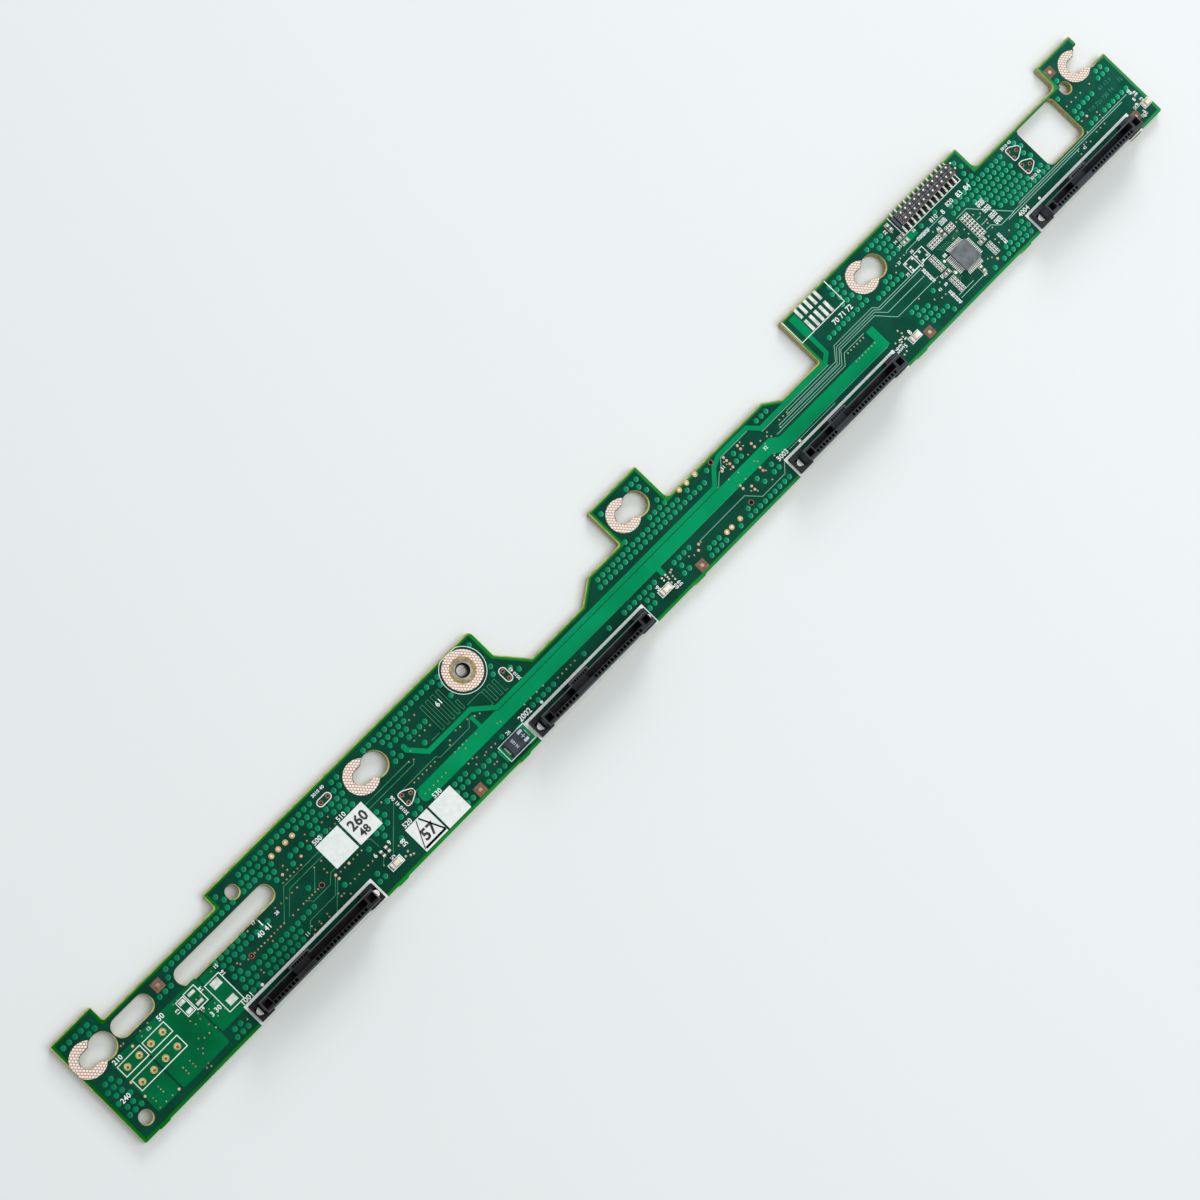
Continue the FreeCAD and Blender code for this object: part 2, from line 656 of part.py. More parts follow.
def header_housing():
    """Insulator bar of the header, notched between its columns, that stands clear of the leads."""
    w = HEADER_PLACE[1]
    half_pitch = HEADER_PITCH / 2
    low = w - HEADER_DEPTH / 2
    high = w + HEADER_DEPTH / 2
    z0 = TOP + HEADER_STANDOFF
    z1 = z0 + HEADER_HEIGHT
    columns = header_columns()
    lower = []
    upper = []
    for centre in columns:
        left = centre - half_pitch
        right = centre + half_pitch
        lower += [(left, low + HEADER_NOTCH), (left + HEADER_NOTCH, low), (right - HEADER_NOTCH, low)]
        upper += [(left, high - HEADER_NOTCH), (left + HEADER_NOTCH, high), (right - HEADER_NOTCH, high)]
    end = columns[-1] + half_pitch
    lower.append((end, low + HEADER_NOTCH))
    upper.append((end, high - HEADER_NOTCH))
    bar = prism(lower + upper[::-1], z0, z1)
    half = HEADER_PIN / 2 + HEADER_PIN_HOLE_CLEARANCE
    rows = (w - half_pitch, w + half_pitch)
    cuts = [box(centre - half, centre + half, row - half, row + half, z0 - OVER, z1 + OVER)
            for centre in columns for row in rows]
    return bar.cut(cuts).removeSplitter()


def header_pin(u, side):
    """Square post whose lead runs out sideways on the board, under the insulator."""
    w = HEADER_PLACE[1]
    row = w + side * HEADER_PITCH / 2
    half = HEADER_PIN / 2
    lead_top = TOP + HEADER_LEAD_GAUGE
    tip = w + side * HEADER_LEAD_SPAN
    outline = [
        vec(0, row - side * half, TOP),
        vec(0, tip, TOP),
        vec(0, tip, lead_top),
        vec(0, row + side * half, lead_top),
        vec(0, row + side * half, TOP + HEADER_PIN_TIP),
        vec(0, row - side * half, TOP + HEADER_PIN_TIP),
    ]
    face = Part.Face(Part.makePolygon(outline + outline[:1]))
    pin = face.extrude(vec(HEADER_PIN, 0, 0))
    pin.translate(vec(u - half, 0, 0))
    return pin


def header_pins(side):
    return Part.makeCompound([header_pin(u, side) for u in header_columns()])


def frustum(u, w, length, width, inset, z0, z1):
    """Block whose top is smaller than its foot by an inset on every side."""
    def ring(half_length, half_width, z):
        points = [vec(u - half_length, w - half_width, z), vec(u + half_length, w - half_width, z),
                  vec(u + half_length, w + half_width, z), vec(u - half_length, w + half_width, z)]
        return Part.makePolygon(points + points[:1])
    foot = ring(length / 2, width / 2, z0)
    head = ring(length / 2 - inset, width / 2 - inset, z1)
    return Part.makeLoft([foot, head], True, True)


def controller_chip():
    """Moulded flat pack body, drafted above and below its parting line."""
    u, w = CHIP_PLACE
    z0 = TOP + CHIP_STANDOFF
    parting = TOP + CHIP_SHOULDER
    upper = frustum(u, w, CHIP_BODY, CHIP_BODY, CHIP_DRAFT, parting, z0 + CHIP_HEIGHT)
    small = CHIP_BODY - 2 * CHIP_DRAFT
    lower = frustum(u, w, small, small, -CHIP_DRAFT, z0, parting)
    return upper.fuse(lower).removeSplitter()


def chip_lead(offset):
    """Gull-wing lead on the right side of the chip, before it is turned to its own side."""
    u, w = CHIP_PLACE
    half = CHIP_BODY / 2
    gauge = CHIP_LEAD_GAUGE
    knee = CHIP_LEAD_SPAN - CHIP_FOOT
    top = TOP + CHIP_SHOULDER + gauge / 2
    outline = [
        vec(half, 0, top - gauge),
        vec(half, 0, top),
        vec(knee, 0, TOP + gauge),
        vec(CHIP_LEAD_SPAN, 0, TOP),
        vec(knee, 0, TOP),
    ]
    face = Part.Face(Part.makePolygon(outline + outline[:1]))
    lead = face.extrude(vec(0, CHIP_LEAD_WIDTH, 0))
    lead.translate(vec(u, w + offset - CHIP_LEAD_WIDTH / 2, 0))
    return lead


def controller_chip_leads():
    """Leads on the four sides of the chip."""
    u, w = CHIP_PLACE
    leads = []
    for side in range(4):
        for i in range(CHIP_LEADS):
            lead = chip_lead((i - (CHIP_LEADS - 1) / 2) * CHIP_LEAD_PITCH)
            lead.rotate(vec(u, w, 0), vec(0, 0, 1), side * 90)
            leads.append(lead)
    return Part.makeCompound(leads)


def bulk_capacitor():
    """Moulded capacitor body with a chamfered top."""
    u, w = CAPACITOR_PLACE
    half_length = CAPACITOR_LENGTH / 2 - CAPACITOR_TERMINAL_GAUGE
    half_width = CAPACITOR_WIDTH / 2
    z0 = TOP + CAPACITOR_TERMINAL_GAUGE
    z1 = TOP + CAPACITOR_HEIGHT
    body = box(u - half_length, u + half_length, w - half_width, w + half_width, z0, z1)
    rim = [e for e in body.Edges if abs(e.BoundBox.ZMin - z1) < SAME_HEIGHT]
    return body.makeChamfer(CAPACITOR_CHAMFER, rim)


def capacitor_terminal(side):
    """Folded terminal: up the end of the body and under it."""
    u, w = CAPACITOR_PLACE
    outer = u + side * CAPACITOR_LENGTH / 2
    inner = outer - side * CAPACITOR_TERMINAL_GAUGE
    under = outer - side * CAPACITOR_TERMINAL_HEIGHT
    low = w - CAPACITOR_TERMINAL_WIDTH / 2
    high = w + CAPACITOR_TERMINAL_WIDTH / 2
    upright = box(min(outer, inner), max(outer, inner), low, high, TOP, TOP + CAPACITOR_TERMINAL_HEIGHT)
    foot = box(min(outer, under), max(outer, under), low, high, TOP, TOP + CAPACITOR_TERMINAL_GAUGE)
    return upright.fuse(foot).removeSplitter()


def bulk_capacitor_terminals():
    return Part.makeCompound([capacitor_terminal(-1), capacitor_terminal(1)])


def drive_led(u):
    """Light: a flat base with a moulded, tapered lens."""
    low = LED_W - LED_WIDTH / 2
    high = LED_W + LED_WIDTH / 2
    base = box(u - LED_LENGTH / 2, u + LED_LENGTH / 2, low, high, TOP, TOP + LED_BASE_HEIGHT)
    top = TOP + LED_BASE_HEIGHT
    lens = frustum(u, LED_W, LED_LENS_LENGTH, LED_WIDTH, LED_LENS_TAPER, top, top + LED_LENS_HEIGHT)
    return base.fuse(lens).removeSplitter()


def chip_part(u, w, length, width, height, across):
    """Small chip component, along or across the board."""
    half_u = (width if across else length) / 2
    half_w = (length if across else width) / 2
    return box(u - half_u, u + half_u, w - half_w, w + half_w, TOP, TOP + height)


def chip_compound(along, across, length, width, height):
    """Small chips of one size: those that lie along the board and those that lie across it."""
    chips = [chip_part(u, w, length, width, height, False) for u, w in along]
    chips += [chip_part(u, w, length, width, height, True) for u, w in across]
    return Part.makeCompound(chips)


def chip_resistors():
    """Resistors in columns beside the chip, a grid to its right, rows above it and pairs by the lights."""
    along = list(LIGHT_RESISTORS_ALONG)
    across = list(LIGHT_RESISTORS_ACROSS)
    for (u, w), count in zip(RESISTOR_COLUMNS, RESISTOR_COLUMN_COUNTS):
        along += [(u, w + i * RESISTOR_PITCH) for i in range(count)]
    for (u, w), count in zip(RESISTOR_ROWS, RESISTOR_ROW_COUNTS):
        across += [(u + i * RESISTOR_PITCH, w) for i in range(count)]
    grid_u = [RESISTOR_GRID[0] + i * RESISTOR_PITCH for i in range(RESISTOR_GRID_COUNTS[0])]
    grid_w = [RESISTOR_GRID[1] + j * RESISTOR_GRID_PITCH for j in range(RESISTOR_GRID_COUNTS[1])]
    across += [(u, w) for u in grid_u for w in grid_w]
    return chip_compound(along, across, RESISTOR_LENGTH, RESISTOR_WIDTH, RESISTOR_HEIGHT)


def ceramic_capacitors():
    return chip_compound(CERAMICS_ALONG, CERAMICS_ACROSS, CERAMIC_LENGTH, CERAMIC_WIDTH, CERAMIC_HEIGHT)


def receptacle_outline(base):
    """Printed frame round a receptacle, left off where the end blocks stand on the board."""
    z0 = TOP
    z1 = TOP + FOIL_THICKNESS
    far_u = base + OUTLINE_LENGTH
    line = OUTLINE_LINE
    frame = box(base, far_u, 0, OUTLINE_WIDTH, z0, z1)
    inner = box(base + line, far_u - line, line, OUTLINE_WIDTH - line, z0 - OVER, z1 + OVER)
    return frame.cut([inner] + end_blocks(base)).removeSplitter()


def printed_legend():
    """White print: the receptacle outlines and the four blank squares."""
    marks = [receptacle_outline(FIRST_RECEPTACLE + i * DRIVE_PITCH) for i in range(RECEPTACLE_COUNT)]
    half = SQUARE_SIDE / 2
    top = TOP + FOIL_THICKNESS
    marks += [box(u - half, u + half, w - half, w + half, TOP, top) for u, w in SQUARE_PLACES]
    return Part.makeCompound(marks)


def main_bus():
    """Wide foil run with its step down, its arm at the far end and two stubs."""
    upper = BUS_TOP - BUS_UPPER_STEP
    step_end = BUS_STEP_U + BUS_STEP_RUN
    up_stub_end = BUS_UP_STUB_U + BUS_UP_STUB_WIDTH
    down_stub_end = BUS_DOWN_STUB_U + BUS_DOWN_STUB_WIDTH
    points = (
        (BUS_START, BUS_FLOOR),
        (BUS_DOWN_STUB_U, BUS_FLOOR),
        (BUS_DOWN_STUB_U, BUS_DOWN_STUB_FLOOR),
        (down_stub_end, BUS_DOWN_STUB_FLOOR),
        (down_stub_end, BUS_FLOOR),
        (BUS_STEP_U, BUS_FLOOR),
        (step_end, BUS_FLOOR - BUS_DROP),
        (BUS_END, BUS_FLOOR - BUS_DROP),
        (BUS_END, BUS_ARM_TOP),
        (BUS_END - BUS_ARM_WIDTH, BUS_ARM_TOP),
        (BUS_END - BUS_ARM_WIDTH, upper - BUS_DROP),
        (step_end + BUS_STEP_RUN, upper - BUS_DROP),
        (step_end, upper),
        (BUS_UPPER_STEP_U, upper),
        (BUS_UPPER_STEP_U - BUS_UPPER_STEP, BUS_TOP),
        (up_stub_end, BUS_TOP),
        (up_stub_end, BUS_UP_STUB_TOP),
        (BUS_UP_STUB_U, BUS_UP_STUB_TOP),
        (BUS_UP_STUB_U, BUS_TOP),
        (BUS_START, BUS_TOP),
    )
    return prism(points, TOP, TOP + FOIL_THICKNESS)


def track(route, width, z0, z1):
    """Flat foil track of one width along a route of straight runs with mitred corners."""
    points = [vec(u, w) for u, w in route]
    ways = [(b - a).normalize() for a, b in zip(points, points[1:])]
    left = []
    right = []
    for here, way_in, way_out in zip(points, [ways[0]] + ways, ways + [ways[-1]]):
        middle = (way_in + way_out).normalize()
        reach = width / 2 / middle.dot(way_in)
        across = vec(-middle.y * reach, middle.x * reach)
        left.append((here.x + across.x, here.y + across.y))
        right.append((here.x - across.x, here.y - across.y))
    return prism(right + left[::-1], z0, z1)


def bus_copper():
    """Foil runs under the mask, seen as brighter green fields along the board."""
    z1 = TOP + FOIL_THICKNESS
    second = track(SECOND_BUS_ROUTE, SECOND_BUS_WIDTH, TOP, z1)
    u, w = SECOND_BUS_ROUTE[0]
    pad = many_sided(u, w, SECOND_BUS_PAD, BARREL_SIDES, TOP, z1)
    return Part.makeCompound([main_bus(), second.fuse(pad).removeSplitter()])


def export(name, shape):
    """Write one node, moved from the drawing frame to the board's own origin."""
    shape.translate(ORIGIN)
    shape.exportStep(os.path.join("parts", name + ".step"))


def main():
    os.makedirs("parts", exist_ok=True)
    export("board", board())
    for i in range(RECEPTACLE_COUNT):
        base = FIRST_RECEPTACLE + i * DRIVE_PITCH
        export("receptacle_housing_%d" % i, receptacle_housing(base))
        export("receptacle_signal_contacts_%d" % i, contact_group(base, ("signal", "fine")))
        export("receptacle_power_contacts_%d" % i, contact_group(base, ("power",)))
        export("receptacle_hold_downs_%d" % i, hold_downs(base))
    for i in range(len(LED_PLACES)):
        export("drive_led_%d" % i, drive_led(LED_PLACES[i]))
    export("header_housing", header_housing())
    export("header_pins_inner", header_pins(-1))
    export("header_pins_outer", header_pins(1))
    export("controller_chip", controller_chip())
    export("controller_chip_leads", controller_chip_leads())
    export("bulk_capacitor", bulk_capacitor())
    export("bulk_capacitor_terminals", bulk_capacitor_terminals())
    export("chip_resistors", chip_resistors())
    export("ceramic_capacitors", ceramic_capacitors())
    export("guide_bush", guide_bush())
    export("guide_pin", guide_pin())
    export("plated_barrels", plated_barrels())
    export("printed_legend", printed_legend())
    export("bus_copper", bus_copper())


main()
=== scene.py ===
"""Looks of the drive backplane board: finishes, foil, print, lands, pads, camera and light."""
import json
import math

import bmesh
import bpy
from mathutils import Matrix, Vector

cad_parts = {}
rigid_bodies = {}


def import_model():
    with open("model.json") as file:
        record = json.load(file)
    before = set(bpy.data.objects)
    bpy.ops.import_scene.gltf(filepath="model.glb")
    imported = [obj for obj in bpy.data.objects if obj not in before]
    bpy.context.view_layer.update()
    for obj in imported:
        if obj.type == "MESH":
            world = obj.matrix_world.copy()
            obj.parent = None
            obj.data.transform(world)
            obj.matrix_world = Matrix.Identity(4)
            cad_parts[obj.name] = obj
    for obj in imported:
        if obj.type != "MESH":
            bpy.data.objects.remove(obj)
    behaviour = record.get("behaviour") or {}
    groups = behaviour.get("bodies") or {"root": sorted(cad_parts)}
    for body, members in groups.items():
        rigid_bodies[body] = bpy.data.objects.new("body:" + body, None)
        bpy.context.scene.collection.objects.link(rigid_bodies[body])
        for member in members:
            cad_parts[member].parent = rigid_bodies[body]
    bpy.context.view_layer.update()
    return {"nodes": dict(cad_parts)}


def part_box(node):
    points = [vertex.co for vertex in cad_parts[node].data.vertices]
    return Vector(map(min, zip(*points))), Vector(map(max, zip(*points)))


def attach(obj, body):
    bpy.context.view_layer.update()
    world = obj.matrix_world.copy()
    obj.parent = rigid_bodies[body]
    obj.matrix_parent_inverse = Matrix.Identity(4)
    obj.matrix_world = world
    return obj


bl_info = {
    "name": "Drive backplane board",
    "version": (1, 0, 0),
    "blender": (4, 5, 0),
    "location": "View3D > Sidebar > Board",
    "description": "Dresses a drive backplane board with foil, print, lands and finishes",
    "category": "Object",
}

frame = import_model()
BODY = "root"

# One unit of the flattened drawing of the board, in metres, and the drawing's zero corner
UNIT = 0.059 / 60
BOARD_LOW, BOARD_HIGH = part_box("board")
STUB = 0.0003
ZERO_X = BOARD_LOW.x
ZERO_Y = BOARD_LOW.y + STUB
TOP = BOARD_HIGH.z

# Thickness of a layer on the board, and the heights at which the layers lie, in metres
LAYER = 0.00002
RIM_Z = TOP + LAYER
FIELD_Z = TOP + 2 * LAYER
PAD_Z = TOP + 4 * LAYER
PRINT_Z = TOP + 5 * LAYER
MARK_Z = TOP + 0.0001
COVER_Z = TOP + 0.00008
BUS_END_Z = COVER_Z + 0.5 * LAYER

# Corners closer than this are one, on an outline and in a loose part, in metres
SAME_CORNER = 1e-7
SAME_PART = 1e-6


def at(u, w, z=TOP):
    """Point of the board's drawing, in metres."""
    return Vector((ZERO_X + u * UNIT, ZERO_Y + w * UNIT, z))


def outline(places):
    """Points of the board's drawing, in metres."""
    return [at(u, w) for u, w in places]


def drawing_place(point):
    """Point of the part as (u, w) of the drawing."""
    return ((point.x - ZERO_X) / UNIT, (point.y - ZERO_Y) / UNIT)


# Shine of the mask, low so that its colour shows as written, and
# the pitch of the stipple on the lands, in metres
MASK_LEVEL = 0.02
STIPPLE_PITCH = 0.00105


def tone(red, green, blue):
    """Linear colour of three screen values from 0 to 255."""
    parts = [value / 255 for value in (red, green, blue)]
    linear = [part / 12.92 if part <= 0.04045 else ((part + 0.055) / 1.055) ** 2.4 for part in parts]
    return tuple(linear) + (1.0,)


def opaque(colour):
    return tuple(colour) + (1.0,)


# Colours of the finishes that have nodes of their own, as screen values
SCREEN_TONES = {
    "mask_light": (9, 66, 50), "mask_far_dark": (14, 70, 56), "mask_far_light": (25, 87, 72),
    "weave": (30, 108, 80), "resin_dark": (146, 138, 88), "resin_light": (184, 176, 124),
    "rim_light": (22, 142, 46), "rim_near_dark": (2, 98, 10), "rim_near_light": (8, 120, 20),
    "rim_far": (46, 142, 80), "land_bead": (252, 246, 236), "land_gap": (150, 84, 60),
    "land_worn": (206, 150, 122), "land_rubbed": (120, 84, 62), "disc_dark": (2, 110, 72),
    "disc_light": (8, 130, 88), "disc_far": (4, 152, 104), "disc_painted_shade": (4, 78, 52),
    "disc_painted_glint": (128, 216, 176), "pin_painted_lit_top": (255, 246, 226), "pin_painted_shaded_side": (96, 86, 74),
    "pin_painted_shaded_side_pale": (168, 160, 140), "nose_painted_shade_dark": (36, 32, 28), "nose_painted_shade_pale": (74, 70, 64),
    "nose_painted_highlight": (230, 227, 220), "moulding_dark": (14, 15, 17), "moulding_light": (30, 31, 34),
    "moulding_far": (58, 62, 66), "moulding_painted_highlight": (84, 89, 92),
}
TONES = {name: tone(*values) for name, values in SCREEN_TONES.items()}

# Plain finishes: material, dark and light screen colour, grain per metre, range of roughness, then what
# else is set. One with no dark colour takes it from the board's settings.
PLAIN_FINISHES = {
    "foil": ("mask_over_wide_foil", None, (4, 150, 96), 90.0, (0.36, 0.46),
             {"level": MASK_LEVEL, "bump": 0.05}),
    "field": ("mask_over_power_foil", (0, 92, 52), (0, 110, 64), 120.0, (0.34, 0.46),
              {"level": MASK_LEVEL, "bump": 0.05}),
    "track": ("mask_over_line", (44, 128, 90), (74, 152, 116), 300.0, (0.3, 0.4),
              {"level": MASK_LEVEL, "far": (158, 208, 188)}),
    "meander": ("mask_over_fine_line", (70, 138, 102), (92, 158, 122), 300.0, (0.3, 0.4),
                {"level": MASK_LEVEL}),
    "ink": ("white_print", None, (240, 243, 241), 700.0, (0.62, 0.78), {"bump": 0.15, "level": 0.2}),
    "dark_ink": ("dark_print", (44, 44, 42), (72, 72, 70), 500.0, (0.6, 0.75), {"bump": 0.1, "level": 0.2}),
    "bright_ink": ("fine_white_print", (240, 246, 243), (250, 252, 251), 700.0, (0.62, 0.78), {"level": 0.2}),
    "faint": ("mask_over_etched_numbers", (40, 122, 96), (70, 150, 122), 400.0, (0.4, 0.5),
              {"level": MASK_LEVEL}),
    # Painted shade round the header's pins, between its leads and at its left end, and dark lines between its
    # columns
    "painted_header_shade": ("shaded_gap", (14, 18, 20), (34, 38, 42), 900.0, (0.6, 0.75), {"level": 0.1}),
    "blue_ink": ("pale_blue_print", (176, 190, 208), (204, 216, 232), 700.0, (0.5, 0.7), {"level": 0.2}),
    "edge": ("cut_edge_of_mask", (158, 152, 86), (194, 184, 114), 500.0, (0.5, 0.7), {"level": 0.1}),
    "copper": ("bare_copper_edge", (136, 116, 68), (176, 156, 104), 900.0, (0.35, 0.5),
               {"metal": 0.2, "level": 0.2}),
    "via": ("coated_via", (146, 108, 80), (208, 172, 142), 1500.0, (0.4, 0.55),
            {"metal": 0.1, "level": 0.2, "far": (204, 186, 156)}),
    "bead": ("small_solder_bead", (170, 152, 132), (232, 222, 206), 2400.0, (0.4, 0.55), {"level": 0.2}),
    "test_point": ("coated_test_point", (222, 156, 128), (242, 198, 172), 1200.0, (0.4, 0.55),
                   {"level": 0.2}),
    "ring": ("coated_ring", (128, 76, 62), (184, 124, 104), 1300.0, (0.4, 0.55), {"level": 0.2}),
    "target": ("bare_laminate", (112, 82, 66), (138, 104, 86), 1500.0, (0.5, 0.65),
               {"bump": 0.2, "level": 0.2}),
    "silver": ("tinned_pad", (196, 196, 190), (244, 244, 238), 500.0, (0.22, 0.4),
               {"metal": 0.2, "bump": 0.35, "depth": 0.00006}),
    "gold": ("gold_plating", (176, 142, 74), (222, 196, 134), 900.0, (0.3, 0.45),
             {"metal": 0.3, "bump": 0.1}),
    # Painted light and painted shade in bores: the lit wall and shaded side of the power bores, and the dark
    # middles of the test holes and open holes
    "painted_lit_gold": ("bright_bore", (196, 164, 104), (240, 224, 184), 2200.0, (0.3, 0.45), {"metal": 0.2}),
    "bore": ("dark_bore", (44, 18, 12), (66, 32, 20), 900.0, (0.5, 0.7), {"level": 0.1}),
    "gold_bore": ("shaded_gold_bore", (120, 78, 26), (154, 106, 42), 900.0, (0.5, 0.7), {"level": 0.1}),
    "black_bore": ("black_bore", (10, 12, 12), (24, 26, 24), 900.0, (0.5, 0.7), {"level": 0.1}),
    "header": ("grey_moulding", (106, 112, 122), (138, 144, 154), 600.0, (0.42, 0.6),
               {"bump": 0.15, "level": 0.25}),
    "contact": ("contact_plating", (150, 146, 134), (196, 192, 180), 900.0, (0.28, 0.42), {"metal": 0.8}),
    "hold_down": ("shaded_hold_down", (40, 40, 40), (70, 69, 66), 900.0, (0.4, 0.55),
                  {"metal": 0.2, "level": 0.2}),
    # Painted highlight: bright marks on the hold-downs' bent metal edges
    "glint_paint": ("tinned_tongue", (214, 214, 210), (246, 246, 243), 900.0, (0.3, 0.45), {"metal": 0.15}),
    "chip": ("moulded_epoxy", (94, 102, 106), (116, 124, 128), 500.0, (0.5, 0.66),
             {"bump": 0.2, "level": 0.25}),
    "lead": ("tinned_lead", (220, 218, 208), (250, 249, 243), 900.0, (0.3, 0.45), {"metal": 0.15}),
    "capacitor": ("grey_moulded_body", (40, 48, 54), (60, 68, 76), 500.0, (0.5, 0.65),
                  {"bump": 0.2, "level": 0.25}),
    "resistor": ("resistor_film", (26, 28, 28), (56, 58, 58), 1200.0, (0.4, 0.55), {"level": 0.25}),
    "ceramic": ("fired_ceramic", (96, 80, 66), (132, 112, 94), 900.0, (0.45, 0.6), {"level": 0.25}),
    "lens": ("light_lens", (216, 208, 172), (246, 241, 218), 700.0, (0.2, 0.32), {"coat": 0.4, "level": 0.3}),
    # The turned bush gets painted shade deeper in its bore
    "bush": ("turned_metal", (118, 112, 102), (178, 172, 162), 1100.0, (0.3, 0.45),
             {"metal": 0.3, "shade_below": (26, 22, 18)}),
}

# Finish of each CAD node, whose name may end in its number
NODE_FINISHES = {
    "board": "mask", "bus_copper": "foil", "printed_legend": "ink", "plated_barrels": "gold",
    "header_housing": "header", "header_pins_inner": "pin", "header_pins_outer": "pin",
    "controller_chip": "chip", "controller_chip_leads": "lead", "bulk_capacitor": "capacitor",
    "bulk_capacitor_terminals": "lead", "chip_resistors": "resistor", "ceramic_capacitors": "ceramic",
    "guide_bush": "bush", "guide_pin": "pin_head", "receptacle_housing": "housing",
    "receptacle_signal_contacts": "contact", "receptacle_power_contacts": "contact",
    "receptacle_hold_downs": "hold_down", "drive_led": "lens",
}
FINISHES = {}


class Look:
    """A node material in the making, with its shader and the object's own coordinates."""

    def __init__(self, name):
        self.material = bpy.data.materials.new(name)
        self.material.use_nodes = True
        self.nodes = self.material.node_tree.nodes
        self.links = self.material.node_tree.links
        coords = self.nodes.new("ShaderNodeTexCoord")
        self.place = coords.outputs["Object"]
        self.normal = coords.outputs["Normal"]

    def put(self, node, inputs):
        """Set inputs of a node, each to a constant or from another node's socket."""
        for key, value in inputs.items():
            if isinstance(value, bpy.types.NodeSocket):
                self.links.new(value, node.inputs[key])
            else:
                node.inputs[key].default_value = value
        return node

    def add(self, kind, inputs):
        """New shader node with the given inputs."""
        return self.put(self.nodes.new("ShaderNode" + kind), inputs)

    def shade(self, inputs):
        """Set inputs of the material's own shader."""
        self.put(self.nodes["Principled BSDF"], inputs)

    def solve(self, kind, operation, inputs):
        """Value of a math node."""
        node = self.add(kind, inputs)
        node.operation = operation
        return node.outputs["Value"]

    def multiply(self, first, second):
        return self.solve("Math", "MULTIPLY", {0: first, 1: second})

    def noise(self, grain, detail=3.0):
        """Noise over the object, with grain in features per metre."""
        return self.add("TexNoise", {"Vector": self.place, "Scale": grain, "Detail": detail}).outputs["Fac"]

    def spread(self, value, low, high, start=0.35, end=0.65):
        """The value, taken from start..end to low..high."""
        ends = {"From Min": start, "From Max": end, "To Min": low, "To Max": high}
        return self.add("MapRange", {"Value": value, **ends}).outputs["Result"]

    def blend(self, factor, first, second):
        """Mix of two colours, each a constant or a socket."""
        node = self.nodes.new("ShaderNodeMix")
        node.data_type = "RGBA"
        colours = {"A": first, "B": second}
        places = {i: colours[s.name] for i, s in enumerate(node.inputs)
                  if s.type == "RGBA" and s.name in colours}
        self.put(node, {"Factor": factor, **places})
        return [s for s in node.outputs if s.type == "RGBA"][0]

    def mottle(self, value, dark, light):
        """Mix of two colours by a noise."""
        return self.blend(self.spread(value, 0.0, 1.0), dark, light)

    def axis(self, vector, name):
        """One part of a vector."""
        return self.add("SeparateXYZ", {"Vector": vector}).outputs[name]

    def along(self, start=0.0, end=1.0):
        """Share of the way along the board, nought at one share of its length and one at the other."""
        length = BOARD_HIGH.x - BOARD_LOW.x
        ends = (BOARD_LOW.x + start * length, BOARD_LOW.x + end * length)
        return self.spread(self.axis(self.place, "X"), 0.0, 1.0, *ends)

    def leaning(self, way):
        """How far the surface leans towards a direction of the object."""
        return self.solve("VectorMath", "DOT_PRODUCT", {0: self.normal, 1: way})

    def bump(self, height, strength, distance):
        """Relief of the shader, from a height."""
        node = self.add("Bump", {"Height": height, "Strength": strength, "Distance": distance})
        self.shade({"Normal": node.outputs["Normal"]})


def finish(name, dark, light, grain, rough, metal=0.0, bump=0.0, depth=0.00002, coat=0.0, level=0.5, far=None,
           shade_below=None):
    """Finish that varies softly, and may change to a far colour along the board and, as painted shade, to a
    dark colour below the board's top.
    """
    look = Look(name)
    colour = look.mottle(look.noise(grain), dark, light)
    if far is not None:
        colour = look.blend(look.along(0.25, 0.85), colour, far)
    if shade_below is not None:
        # Painted shade: the colour darkens below the board's top
        depth_share = look.spread(look.axis(look.place, "Z"), 1.0, 0.0, TOP - 0.0002, TOP - 0.00008)
        colour = look.blend(depth_share, colour, shade_below)
    fine = look.noise(grain * 6)
    look.shade({"Base Color": colour, "Roughness": look.spread(fine, *rough), "Metallic": metal,
                "Specular IOR Level": level, "Coat Weight": coat, "Coat Roughness": 0.12})
    if bump:
        look.bump(fine, bump, depth)
    return look.material


def mask_green(look, settings):
    """Mottled colour of the plain mask, a little paler and bluer towards the right end, and its noise."""
    near = look.noise(130.0, 4.0)
    left = look.mottle(near, opaque(settings.mask_colour), TONES["mask_light"])
    right = look.mottle(near, TONES["mask_far_dark"], TONES["mask_far_light"])
    return look.blend(look.along(0.45, 1.0), left, right), near


def mask_finish(settings):
    """Green mask on the faces and bare glass laminate on the cut edges."""
    look = Look("green_mask_on_laminate")
    green, near = mask_green(look, settings)
    weave = look.add("TexBrick", {"Vector": look.place, "Scale": 1300.0, "Mortar Size": 0.08})
    green = look.blend(look.spread(weave.outputs["Fac"], 0.0, 0.16, 0.0, 1.0), green, TONES["weave"])
    resin = look.mottle(look.noise(2600.0, 2.0), TONES["resin_dark"], TONES["resin_light"])
    flat = look.solve("Math", "ABSOLUTE", {0: look.axis(look.normal, "Z")})
    face = look.spread(flat, 0.0, 1.0, 0.4, 0.6)
    look.shade({"Base Color": look.blend(face, resin, green),
                "Roughness": look.spread(face, 0.75, 0.4, 0.0, 1.0), "Specular IOR Level": MASK_LEVEL})
    look.bump(near, 0.12, 0.00004)
    return look.material


